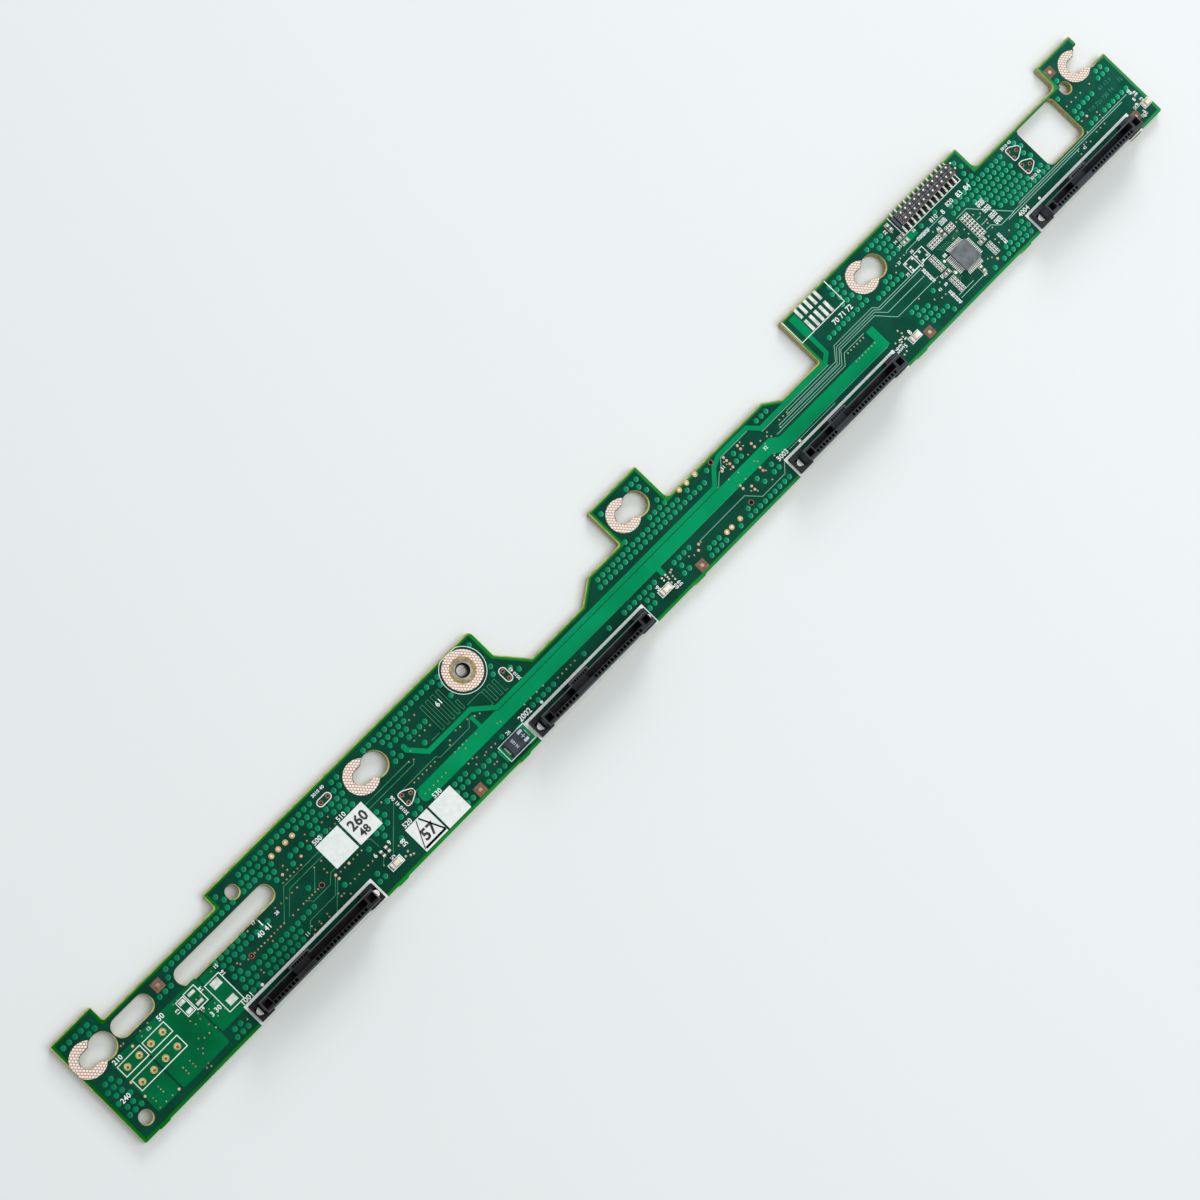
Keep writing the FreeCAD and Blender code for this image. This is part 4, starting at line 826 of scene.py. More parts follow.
SOLDER_BEADS = (
    (209.2, 6.3), (210.6, 6.2), (210.8, 7.4), (211.6, 7.7), (209.1, 7.6), (210.5, 5.1), (209.0, 5.1),
    (311.6, 9.7), (312.0, 8.4), (308.3, 7.6), (310.6, 7.2), (312.0, 6.5), (309.6, 7.0), (309.1, 3.7),
    (307.8, 3.4), (102.7, 4.9), (102.5, 3.6), (101.3, 4.3), (103.4, 3.3), (420.6, 8.7), (420.2, 5.9),
    (421.0, 4.4), (420.3, 9.9),
)

# Small targets of bare laminate with a coated middle
TARGETS = ((30.85, 27.05), (128.75, 2.55), (218.95, 2.4), (318.5, 2.85), (406.3, 31.9), (415.8, 4.2))
TARGET_SIDE = 3.1

# Painted shade on the header, in drawing units except for the height and the line's width in metres
SHADE_PLATE_SHARE = 0.3
SHADE_PLATE_START = 0.0001
SHADE_PLATE_HEIGHT = 0.0003
LEFT_SHADE_WIDTH = 0.45
LEFT_SHADE_MARGIN = 0.1
SHADE_FRAME_HALF = 0.66
SHADE_FRAME_SHIFT = 0.25
SHADE_LINE_WIDTH = 0.00025
SHADE_LINE_MARGIN = 0.2

# Test holes with a dark bore, ones filled with solder, and larger open ones
TEST_HOLES = (
    (95.5, 30.8), (98.0, 30.8), (156.7, 21.1), (156.7, 18.5), (112.4, 16.7), (112.4, 14.1), (114.6, 15.5),
    (377.6, 23.8), (377.6, 21.3), (379.9, 22.5), (377.7, 18.0), (377.7, 15.5), (379.9, 16.8),
)
FILLED_HOLES = (
    (75.9, 30.0), (78.5, 30.0), (81.1, 30.0), (83.7, 30.0), (230.1, 22.0), (233.1, 22.0), (236.7, 22.0),
    (231.1, 4.0), (233.1, 4.0), (236.7, 4.0),
)
OPEN_HOLES = ((53.5, 14.9), (79.9, 14.9), (242.5, 21.2), (242.5, 5.0))

# Plated holes: name, places, inner and outer radius and finish of
# the ring, then name, finish and slot of its middle
PLATED = "plated_copper"
TINNED = "tinned_foil"
# The dark middles of the test holes and the open holes are painted shade
HOLE_KINDS = (
    ("test_hole_rings", TEST_HOLES, 0.00033, 0.00062, "ring", "test_hole_bores", "bore", PLATED),
    ("filled_hole_rings", FILLED_HOLES, 0.0004, 0.0008, "gold", "filled_hole_middles", "lead", TINNED),
    ("open_hole_rings", OPEN_HOLES, 0.00062, 0.0008, "ring", "open_hole_bores", "black_bore", PLATED),
)
RING_SIDES = 20
# Shift of the painted shade disc in each power bore, off the middle of its painted lit wall
POWER_SHADE_SHIFT = (-0.04, -0.13)

# Small discs: foot radius, crown radius and height in metres, and number of sides
DISC_HEIGHT = 0.00005
DISC_SIDES = 14
DISC_FORMS = {
    "solder_beads": (0.00034, 0.0002, 0.00016, 10),
    "target_middles": (0.0006, 0.0005, 0.00008, 20),
    "test_hole_bores": (0.00035, 0.00034, 0.00006, 16),
    "filled_hole_middles": (0.00042, 0.0003, 0.00012, 16),
    "open_hole_bores": (0.00064, 0.0006, 0.00006, 16),
    "power_hole_walls": (0.00064, 0.00062, 0.00001, 20),
    "power_hole_shades": (0.00041, 0.00036, 0.00001, 16),
    "pin_marks": (0.00045, 0.00043, 3 * LAYER, 16),
}

# Plain numbers of the print: text, middle, letter height, turn in degrees
NUMBERS = (
    ("1001", 44.75, 7.75, 1.5, 0), ("2002", 152.35, 8.3, 1.6, 0), ("3003", 259.35, 8.1, 1.5, 0),
    ("4004", 367.35, 8.1, 1.5, 0), ("210", 10.0, 20.6, 1.4, 0), ("50", 25.5, 20.6, 1.5, 0),
    ("3 30", 36.8, 11.4, 1.4, 0), ("240", 4.6, 12.0, 1.4, 0), ("40 41", 60.6, 17.2, 1.5, 0),
    ("1", 61.3, 19.3, 1.8, 0), ("500", 87.5, 24.3, 1.4, 0), ("510", 96.6, 24.3, 1.4, 0),
    ("520", 108.0, 10.3, 1.4, 0), ("530", 119.6, 10.3, 1.4, 0), ("61", 137.8, 27.4, 1.6, 0),
    ("70 71 72", 303.2, 24.4, 1.6, 0), ("810", 345.2, 25.5, 1.4, 0), ("8", 348.8, 24.9, 1.5, 0),
    ("820", 352.4, 25.5, 1.4, 0), ("83", 356.6, 25.3, 1.6, 0), ("84", 360.0, 25.1, 1.6, 0),
    ("3010 40", 97.0, 33.6, 0.95, 0), ("3010 41 06", 110.0, 15.3, 1.05, 90),
    ("3010 42", 158.7, 18.3, 0.95, 90), ("3010 43", 378.5, 25.6, 0.95, 0),
    ("3010 44", 378.5, 13.2, 0.95, 0), ("11", 68.0, 8.3, 1.0, 0), ("12", 21.2, 20.6, 0.9, 0),
    ("13", 29.7, 18.3, 1.1, 90), ("14", 38.0, 18.2, 1.1, 90), ("15", 44.9, 19.7, 1.0, 0),
    ("16", 45.1, 17.2, 1.1, 90), ("17", 59.9, 20.8, 0.9, 0), ("18", 34.6, 14.3, 0.9, 0),
    ("26", 145.4, 8.1, 1.0, 0), ("27", 98.5, 6.6, 0.8, 0), ("28", 66.2, 18.2, 0.9, 0),
    ("31", 244.0, 17.6, 1.0, 0), ("32", 257.2, 13.0, 1.0, 0), ("33", 331.2, 32.6, 1.0, 90),
    ("34", 331.2, 28.4, 0.9, 0), ("35", 331.2, 26.6, 0.9, 0), ("36", 338.0, 27.1, 0.9, 0),
    ("37", 327.3, 23.3, 0.9, 0), ("38", 332.7, 23.1, 0.9, 0), ("39", 326.6, 19.1, 0.9, 0),
    ("43", 330.4, 9.3, 0.9, 0), ("44", 344.0, 3.0, 0.9, 0), ("45", 396.3, 8.4, 0.9, 0),
    ("46", 343.9, 22.3, 1.0, 0), ("86", 333.8, 26.6, 0.9, 0), ("87", 332.0, 18.0, 0.8, 0),
    ("88", 339.2, 15.4, 1.0, 0), ("89", 332.9, 9.2, 0.9, 0), ("90", 333.8, 11.6, 0.9, 90),
    ("91", 337.7, 9.9, 0.9, 90), ("9", 100.8, 10.1, 1.3, 0), ("6", 95.6, 10.2, 1.3, 0),
    ("5", 98.9, 6.7, 1.2, 90), ("58", 103.7, 7.3, 1.5, 90), ("59", 210.7, 3.4, 1.2, 90),
    ("65", 209.2, 3.5, 1.2, 90), ("66", 205.0, 6.7, 1.2, 90), ("8", 313.9, 6.9, 1.5, 0),
    ("53", 308.9, 5.7, 1.3, 90), ("56", 307.4, 5.6, 1.3, 90), ("8", 305.8, 6.3, 1.3, 0),
    ("5", 310.1, 5.0, 1.2, 0), ("68", 420.1, 10.7, 1.2, 90), ("69", 421.3, 9.3, 1.1, 90),
    ("8", 419.4, 8.1, 1.2, 0), ("63", 421.3, 6.5, 1.1, 90), ("6", 422.0, 5.0, 1.1, 0),
    ("9", 418.8, 6.4, 1.1, 0), ("3", 418.9, 3.4, 1.1, 0), ("8", 418.2, 2.4, 1.1, 0),
)
DARK_NUMBERS = (("260", 99.1, 20.3, 2.9, 0), ("48", 98.6, 17.05, 2.3, 0), ("57", 110.6, 4.5, 3.2, 0))

# Faint numbers in the foil under the mask
FAINT_NUMBERS = (
    ("61 62 6", 416.3, 17.8, 1.25, 0), ("710 720 730 74", 411.6, 15.0, 1.25, 0),
    ("72", 420.9, 15.4, 1.2, 0),
)

# Height of a capital as a share of the font's size, and by how much the strokes are widened, by piece
CAPITAL_SHARE = 0.7
STROKES = {"printed_numbers": 0.015, "small_numbers": 0.03, "square_numbers": 0.03, "faint_numbers": 0.0,
           "capacitor_numbers": 0.012}

# Dark triangle on the third square: the ends and the width of each side
SQUARE_MARKS = (
    ((106.9, 1.95), (114.5, 1.95), 0.65), ((114.4, 2.0), (111.0, 9.15), 0.45),
    ((106.5, 1.9), (110.15, 9.15), 0.26),
)

# Blocks of stacked small numbers beside the chip parts: (u, u, w, w, rows, columns)
NUMBER_BLOCKS = (
    (330.2, 331.9, 12.0, 17.2, 5, 1), (331.2, 333.0, 2.1, 7.2, 5, 1), (355.3, 357.0, 5.0, 8.95, 4, 1),
    (357.8, 360.8, 17.9, 20.0, 1, 3), (358.0, 360.9, 15.4, 17.6, 1, 3), (358.1, 360.9, 12.8, 15.0, 1, 3),
    (358.1, 360.9, 10.6, 12.75, 1, 3), (336.6, 341.9, 23.6, 25.1, 1, 5), (345.3, 348.0, 21.9, 24.1, 1, 3),
)

# Height of a block's digits as a share of their row, and the step between digits as a share of their height
BLOCK_FILL = 0.86
DIGIT_SHARE = 0.857

# Bright fields over foil, corners as (u, w), and the radius of their corners
POWER_FIELDS = (
    ((8.1, 3.3), (16.3, 3.3), (16.3, 21.2), (8.1, 21.2)),
    ((16.9, 3.0), (33.7, 3.0), (33.7, 14.6), (39.0, 14.6), (39.0, 21.6), (16.9, 21.6)),
    ((34.2, 6.2), (44.2, 6.2), (44.2, 20.6), (39.4, 20.6), (39.4, 14.2), (34.2, 14.2)),
)
POWER_FIELD_RADIUS = 0.8
SMALL_FIELDS = (
    ((290.1, 27.0), (292.8, 27.0), (292.8, 34.3), (290.1, 34.3)),
    ((332.0, 25.6), (338.6, 25.6), (338.6, 27.6), (332.0, 27.6)),
    ((139.5, 2.3), (143.4, 2.3), (143.4, 6.7), (139.5, 6.7)),
    ((147.6, 1.4), (150.9, 1.4), (150.9, 7.6), (147.6, 7.6)),
)
SMALL_FIELD_RADIUS = 0.3

# Second bus: the middle of its rounded end with its size, the
# round cover behind it, and the discs on that cover
BUS_END = (122.25, 25.7)
BUS_END_RADIUS = 0.8
BUS_END_RUN = 1.4
BUS_END_WIDTH = 1.42
BUS_COVER = (122.19, 27.05)
BUS_COVER_RADIUS = 2.32
BUS_COVER_SLOPE = 0.00025
BUS_END_DISCS = ((121.97, 28.65), (124.03, 28.65))

# First bus: its left end and both its sides, the radius of its corners, and how far their covers go past them
BUS_CORNER = (115.47, 10.53, 14.39)
BUS_CORNER_RADIUS = 1.5
BUS_CORNER_MARGIN = 0.15

# Lands round the narrow end of each keyhole, in metres, and the ends on the drawing
LAND_RADIUS = 0.005
LAND_GAP = 0.00014
NECK_RADIUS = 0.00235
HEAD_RADIUS = 0.0037
TRAVEL = 0.0049
KEYHOLE_ENDS = ((4.8, 26.03), (108.2, 28.07), (213.1, 28.07), (315.9, 28.07), (413.35, 28.07))

# Land of the guide bush: its inner and outer radius, in metres, and its sides
GUIDE_RING = (0.00378, 0.00584)
GUIDE_RING_SIDES = 56

# Turned head of the guide pin: how far it stands to one side, then
# radius and depth below the board of each step
PIN_LEAN = Vector((-0.00012, 0.00012, 0))
PIN_STEPS = ((0.0016, 0.0016), (0.00168, 0.0008), (0.0015, 0.00055), (0.0011, 0.00042), (0.0005, 0.00033))

# Sides longer than this keep a straight rim, and a run of short
# ones longer than the second has none, in metres
LONG_SIDE = 0.0021
LONG_BEND = 0.009

# Width of the laminate's line on edges that face left and on ones that face back, and the least that is drawn
LINE_LEFT = 0.00013
LINE_BACK = 0.00044
LINE_LEAST = 0.00001

# Metal ends of the small chips: how far they reach over the chip
# and past it, in metres, then those of the lights
CHIP_ENDS = (("chip_resistors", 0.00028, 0.00022), ("ceramic_capacitors", 0.0004, 0.0003))
LIGHT_CAP = 0.00055
LIGHT_FOOT = 0.0003
LIGHT_HEIGHT = 0.0005
RECEPTACLES = 4

# Painted glints on the hold-downs' bent metal edges: the half moon's shift and radius, then the bar's place,
# ends and width
MOON_SHIFT = (0.1, -0.2)
MOON_RADIUS = 1.0
BAR_SHIFT = 0.3
BAR_ENDS = (-1.4, 1.0)
BAR_WIDTH = 0.26

# Pale marks on the capacitor, from its lower left corner: blocks as (u, u, w, w), then numbers
CAPACITOR_BLOCKS = (
    (4.9, 6.5, 3.3, 4.1), (4.9, 6.5, 0.5, 1.3), (5.05, 6.35, 2.12, 2.34), (5.59, 5.81, 1.6, 2.86),
)
CAPACITOR_NUMBERS = (("105", 2.5, 2.85, 0.85, 90), ("16", 2.5, 1.25, 0.8, 90))

# Stage, in metres: the floor's half width and how far it lies under
# the board, and each lamp's width, place and power
FLOOR_HALF = 3.0
FLOOR_DROP = 0.0003
LAMPS = (
    ("main_lamp", 0.7, (1.1, 0.9, 0.8), "lamp_power"),
    ("fill_lamp", 0.8, (0.3, -0.45, 1.1), "fill_power"),
)
SKY_COLOUR = (0.97, 0.99, 1.0, 1.0)
CAMERA_PLACE = (-0.21650295, -0.01885038, 0.71732948)
CAMERA_RIGHT = (0.67992678, -0.71348645, 0.16922368)
CAMERA_UP = (0.6840418, 0.70028953, 0.20416023)
SENSOR_WIDTH = 36.0

# Least upward normal of a top face, least turn at a corner, least
# angle of two sides that cross, sharpest mitre
FACES_UP = 0.99
STRAIGHT = 1e-4
PARALLEL = 0.05
SHARPEST_MITRE = 0.6


def length_of(name, description, default):
    return bpy.props.FloatProperty(name=name, description=description, default=default, subtype="DISTANCE",
                                   unit="LENGTH")


def colour_of(name, description, *screen):
    return bpy.props.FloatVectorProperty(name=name, description=description, default=tone(*screen)[:3],
                                         size=3, subtype="COLOR", min=0.0, max=1.0)


class BoardSizes(bpy.types.PropertyGroup):
    """Sizes and colours of the board's own looks."""
    dot_radius: length_of("Fill disc radius", "Foot radius of a foil disc under the mask", 0.0008)
    dot_crown: length_of("Fill disc crown", "Radius of a disc's flat top", 0.0006)
    via_radius: length_of("Via radius", "Radius of a small plated via", 0.00027)
    large_via_radius: length_of("Test point radius", "Radius of a coated test point", 0.00043)
    rim_width: length_of("Rim width", "Width of the bright rim along the outer edge", 0.0012)
    print_width: length_of("Print line width", "Width of a printed line", 0.00034)
    track_width: length_of("Track width", "Width of a foil line under the mask", 0.00022)
    mask_colour: colour_of("Mask colour", "Darkest colour of the green mask", 5, 51, 38)
    rim_colour: colour_of("Rim colour", "Colour of the mask along a cut edge", 6, 127, 30)
    foil_colour: colour_of("Foil field colour", "Mask colour over wide foil", 0, 138, 86)
    ink_colour: colour_of("Print colour", "Colour of the printed marks", 226, 234, 230)


class StageSizes(bpy.types.PropertyGroup):
    """Floor, light and camera."""
    floor_colour: colour_of("Floor colour", "Colour of the pale floor", 235, 239, 240)
    lamp_power: bpy.props.FloatProperty(name="Lamp power", description="Power of the large soft lamp",
                                        default=11.0, unit="POWER")
    fill_power: bpy.props.FloatProperty(name="Fill power", description="Power of the fill lamp", default=5.6,
                                        unit="POWER")
    sky: bpy.props.FloatProperty(name="Sky strength", description="Strength of the even light", default=0.52)
    lens: bpy.props.FloatProperty(name="Lens", description="Focal length of the camera in millimetres",
                                  default=81.0)


def board_sizes():
    return bpy.context.scene.backplane_sizes


def disc_form():
    """Form of a fill disc."""
    sizes = board_sizes()
    return (sizes.dot_radius, sizes.dot_crown, DISC_HEIGHT, DISC_SIDES)


class BACKPLANE_OT_finishes(bpy.types.Operator):
    """Give every solid of the board its finish"""
    bl_idname = "backplane.finishes"
    bl_label = "Finishes"

    def execute(self, context):
        make_finishes(board_sizes())
        for name, node in frame["nodes"].items():
            node.data.materials.clear()
            node.data.materials.append(node_finish(name))
        return {"FINISHED"}


def top_loops(mesh):
    """Closed loops of points round the board's top face, with the board on the left of each."""
    copy = bmesh.new()
    copy.from_mesh(mesh)
    bmesh.ops.remove_doubles(copy, verts=copy.verts, dist=SAME_CORNER)
    copy.normal_update()
    following = {}
    for face in copy.faces:
        if face.normal.z < FACES_UP:
            continue
        for loop in face.loops:
            if any(other.normal.z <= FACES_UP for other in loop.edge.link_faces):
                following[loop.vert.index] = loop.link_loop_next.vert.index
    points = {v.index: v.co.copy() for v in copy.verts}
    copy.free()
    loops = []
    while following:
        here = next(iter(following))
        chain = []
        while here in following:
            chain.append(points[here])
            here = following.pop(here)
        loops.append(chain)
    return loops


def inward(before, here, after):
    """Mitred direction from an edge point into the board, for a unit of distance."""
    one = (here - before).normalized()
    two = (after - here).normalized()
    left_one = Vector((-one.y, one.x, 0))
    left_two = Vector((-two.y, two.x, 0))
    return (left_one + left_two) / max(1.0 + left_one.dot(left_two), SHARPEST_MITRE)


def straight_sides(loop):
    """Outline without the points that lie within a straight side."""
    out = []
    for i in range(len(loop)):
        one = (loop[i] - loop[i - 1]).normalized()
        two = (loop[(i + 1) % len(loop)] - loop[i]).normalized()
        if one.cross(two).length > STRAIGHT:
            out.append(loop[i])
    return out


def crossing(start, way, other, other_way):
    """Where two lines of the plane cross, or nothing where they are nearly parallel."""
    turn = way.x * other_way.y - way.y * other_way.x
    if abs(turn) < PARALLEL:
        return None
    gap = other - start
    return start + way * ((gap.x * other_way.y - gap.y * other_way.x) / turn)


def rim_band(shape, across, edge_points, width):
    """Band of one width along the long sides of an outline, closed by fans at its rounded corners."""
    loop = straight_sides(edge_points)
    count = len(loop)

    def face(*corners):
        made = shape.faces.new([shape.verts.new((p.x, p.y, RIM_Z)) for p, share in corners])
        for loop_corner, (p, share) in zip(made.loops, corners):
            loop_corner[across].uv = (share, 0.5)

    sides = [loop[(i + 1) % count] - loop[i] for i in range(count)]
    ways = [side.normalized() for side in sides]
    lefts = [Vector((-way.y, way.x, 0)) for way in ways]
    long_ones = [i for i in range(count) if sides[i].length >= LONG_SIDE]
    ends = {}
    starts = {}
    for k, here in enumerate(long_ones):
        after = long_ones[(k + 1) % len(long_ones)]
        bend = [loop[(here + 1 + n) % count] for n in range((after - here - 1) % count + 1)]
        if sum((q - p).length for p, q in zip(bend, bend[1:])) > LONG_BEND:
            continue
        first = bend[0] + lefts[here] * width
        last = bend[-1] + lefts[after] * width
        inner = crossing(first, ways[here], last, ways[after])
        if inner is None:
            inner = (first + last) / 2
        ends[here] = inner
        starts[after] = inner
        for p, q in zip(bend, bend[1:]):
            face((p, 0.0), (q, 0.0), (inner, 1.0))
    for i in long_ones:
        a = loop[i]
        b = loop[(i + 1) % count]
        far_b = ends.get(i, b + lefts[i] * width)
        far_a = starts.get(i, a + lefts[i] * width)
        face((a, 0.0), (b, 0.0), (far_b, 1.0), (far_a, 1.0))


class BACKPLANE_OT_rim(bpy.types.Operator):
    """Bright rim of thin mask along the outer edge, and the laminate's own line on its back and left edges"""
    bl_idname = "backplane.rim"
    bl_label = "Mask rim"

    def execute(self, context):
        rim = bmesh.new()
        across = rim.loops.layers.uv.new("across")
        edge = bmesh.new()
        loops = top_loops(frame["nodes"]["board"].data)
        outer_loop = max(loops, key=lambda loop: max(p.x for p in loop) - min(p.x for p in loop))
        rim_band(rim, across, outer_loop, board_sizes().rim_width)
        for loop in loops:
            count = len(loop)
            ways = [inward(loop[i - 1], loop[i], loop[(i + 1) % count]) for i in range(count)]
            outs = [-way.normalized() for way in ways]
            lips = [LINE_LEFT * max(-out.x, 0.0) + LINE_BACK * max(out.y, 0.0) for out in outs]
            for i in range(count):
                j = (i + 1) % count
                if max(lips[i], lips[j]) >= LINE_LEAST:
                    corners = (loop[i], loop[j], loop[j] + ways[j] * lips[j], loop[i] + ways[i] * lips[i])
                    edge.faces.new([edge.verts.new((p.x, p.y, RIM_Z + LAYER / 2)) for p in corners])
        for shape in (rim, edge):
            bmesh.ops.remove_doubles(shape, verts=shape.verts, dist=SAME_CORNER)
        piece("mask_rim", rim, "rim")
        piece("cut_edge_line", edge, "edge")
        return {"FINISHED"}


class BACKPLANE_OT_bus_ends(bpy.types.Operator):
    """Rounded ends of the two wide foil fields"""
    bl_idname = "backplane.bus_ends"
    bl_label = "Foil field ends"

    def execute(self, context):
        cover = bmesh.new()
        plate(cover, outline(circle(*BUS_COVER, BUS_COVER_RADIUS, 24)), TOP, COVER_Z, BUS_COVER_SLOPE)
        u, low_w, high_w = BUS_CORNER
        radius = BUS_CORNER_RADIUS
        left = u - BUS_CORNER_MARGIN
        bottom = low_w - BUS_CORNER_MARGIN
        lower = [(left, bottom), (u + radius, bottom)]
        lower += circle(u + radius, low_w + radius, radius, 8, 270, -90) + [(left, low_w + radius)]
        upper = [(a, low_w + high_w - b) for a, b in lower[::-1]]
        for corners in (lower, upper):
            plate(cover, outline(corners), TOP, COVER_Z)
        piece("bus_end_mask", cover, "mask")
        end = bmesh.new()
        plate(end, outline(circle(*BUS_END, BUS_END_RADIUS, 20)), TOP, BUS_END_Z)
        foot = (BUS_END[0], BUS_END[1] - BUS_END_RUN)
        thick_line(end, BUS_END, foot, BUS_END_WIDTH, TOP, BUS_END_Z - 0.25 * LAYER)
        piece("bus_end", end, "foil")
        discs("bus_end_discs", BUS_END_DISCS, COVER_Z, "disc", disc_form())
        return {"FINISHED"}


class BACKPLANE_OT_fields(bpy.types.Operator):
    """Bright foil fields of the power inlet, the socket, the header and the capacitor"""
    bl_idname = "backplane.fields"
    bl_label = "Power fields"

    def execute(self, context):
        for name, fields, radius, look in (("power_fields", POWER_FIELDS, POWER_FIELD_RADIUS, "field"),
                                           ("small_fields", SMALL_FIELDS, SMALL_FIELD_RADIUS, "foil")):
            outlines = [outline(rounded(corners, radius)) for corners in fields]
            plates(name, outlines, TOP, FIELD_Z, look)
        return {"FINISHED"}


class BACKPLANE_OT_fill_discs(bpy.types.Operator):
    """Foil discs under the mask"""
    bl_idname = "backplane.fill_discs"
    bl_label = "Fill discs"

    def execute(self, context):
        places = [(u + i * DOT_PITCH, w) for w, runs in DOT_ROWS.items()
                  for u, count in runs for i in range(count)]
        discs("fill_discs", places, TOP, "disc", disc_form())
        return {"FINISHED"}


class BACKPLANE_OT_vias(bpy.types.Operator):
    """Small plated vias and larger test points"""
    bl_idname = "backplane.vias"
    bl_label = "Vias"

    def execute(self, context):
        small = [(u + i * step, w) for w, u, step, count in VIA_ROWS for i in range(count)] + list(VIA_PLACES)
        radius = board_sizes().via_radius
        discs("vias", small, TOP, "via", (radius, radius * VIA_CROWN, VIA_HEIGHT, 8))
        radius = board_sizes().large_via_radius
        discs("test_points", LARGE_VIA_PLACES, TOP, "test_point",
              (radius, radius * TEST_POINT_CROWN, TEST_POINT_HEIGHT, 12))
        return {"FINISHED"}


def serpentine(u, pitch, count, low, high):
    """Route that runs up and down, and starts and ends low."""
    route = [(u - SERPENTINE_RUN_IN, low)]
    for i in range(count):
        left = u + i * pitch
        right = left + pitch / 2
        route += [(left, low), (left, high), (right, high), (right, low)]
    return route + [(u + count * pitch, low)]


def fan_routes():
    """Fine lines that leave two sides of the chip and turn off one after another."""
    low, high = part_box("controller_chip_leads")
    u0, w0 = drawing_place(low)
    u1, w1 = drawing_place(high)
    routes = []
    for i in range(FAN_COUNT):
        share = (i + 2) / (FAN_COUNT + 3)
        w = w0 + share * (w1 - w0)
        u = u0 + share * (u1 - u0)
        straight = FAN_RUN + FAN_GAIN * abs(share - 0.5)
        bend = FAN_BEND if share > 0.5 else -FAN_BEND
        routes.append([(u0 + FAN_START, w), (u0 - straight, w), (u0 - straight - FAN_BEND, w + bend)])
        routes.append([(u, w1 - FAN_START), (u, w1 + straight), (u + bend, w1 + straight + FAN_BEND)])
    return routes


class BACKPLANE_OT_tracks(bpy.types.Operator):
    """Foil lines that show through the mask"""
    bl_idname = "backplane.tracks"
    bl_label = "Tracks"

    def execute(self, context):
        width = board_sizes().track_width
        meanders = [serpentine(*entry) for entry in SERPENTINES] + [MEANDER_LINK]
        lines("tracks", TRACKS, width, RIM_Z, "track")
        lines("meanders", meanders, width * MEANDER_SHARE, RIM_Z, "meander")
        lines("chip_fans", fan_routes(), width * FAN_SHARE, RIM_Z, "meander")
        return {"FINISHED"}


def land_outline(centre, low_x):
    """Outline of the land: an open ring whose horns end on the keyhole's wide end."""
    neck = NECK_RADIUS + LAND_GAP
    head = HEAD_RADIUS + LAND_GAP
    tip_x = (TRAVEL ** 2 + LAND_RADIUS ** 2 - head ** 2) / (2 * TRAVEL)
    tip = math.degrees(math.atan2(math.sqrt(LAND_RADIUS ** 2 - tip_x ** 2), tip_x))
    join_x = TRAVEL - math.sqrt(head ** 2 - neck ** 2)
    outer = circle(0, 0, LAND_RADIUS, 44, tip, 360 - 2 * tip)
    start = math.degrees(math.atan2(outer[-1][1], outer[-1][0] - TRAVEL)) % 360
    end = math.degrees(math.atan2(-neck, join_x - TRAVEL)) % 360
    lower = circle(TRAVEL, 0, head, 6, start, end - start)[1:]
    inner = circle(0, 0, neck, 24, 270, -180)
    upper = [(x, -y) for x, y in lower[::-1]]
    points = outer + lower + inner + upper
    return [Vector((max(centre.x + x, low_x), centre.y + y, 0)) for x, y in points]


class BACKPLANE_OT_lands(bpy.types.Operator):
    """Solder coated lands round the keyholes and the guide bush"""
    bl_idname = "backplane.lands"
    bl_label = "Lands"

    def execute(self, context):
        shape = bmesh.new()
        for u, w in KEYHOLE_ENDS:
            plate(shape, land_outline(at(u, w), BOARD_LOW.x + LAND_GAP), TOP, PAD_Z)
        low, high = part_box("guide_bush")
        middle = (low + high) / 2
        inner, outer = GUIDE_RING
        ring(shape, middle, inner, outer, PAD_Z, GUIDE_RING_SIDES)
        piece("lands", shape, "land")
        bare = bmesh.new()
        ring(bare, middle, high.x - middle.x, inner, PAD_Z, GUIDE_RING_SIDES)
        piece("bush_collar", bare, "copper")
        return {"FINISHED"}


class BACKPLANE_OT_pin_head(bpy.types.Operator):
    """Turned head of the guide pin"""
    bl_idname = "backplane.pin_head"
    bl_label = "Guide pin head"

    def execute(self, context):
        low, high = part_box("guide_pin")
        middle = (low + high) / 2 + PIN_LEAN
        shape = bmesh.new()
        rows = []
        for radius, depth in PIN_STEPS:
            places = circle(middle.x, middle.y, radius)
            rows.append([shape.verts.new((x, y, TOP - depth)) for x, y in places])
        for below, above in zip(rows, rows[1:]):
            walls(shape, below, above)
        shape.faces.new(rows[-1])
        shape.faces.new(rows[0][::-1])
        piece("guide_pin_head", shape, "pin_head")
        return {"FINISHED"}


def square(u, w, half):
    """Corners of a square of the drawing, in metres."""
    return rectangle(u - half, u + half, w - half, w + half)


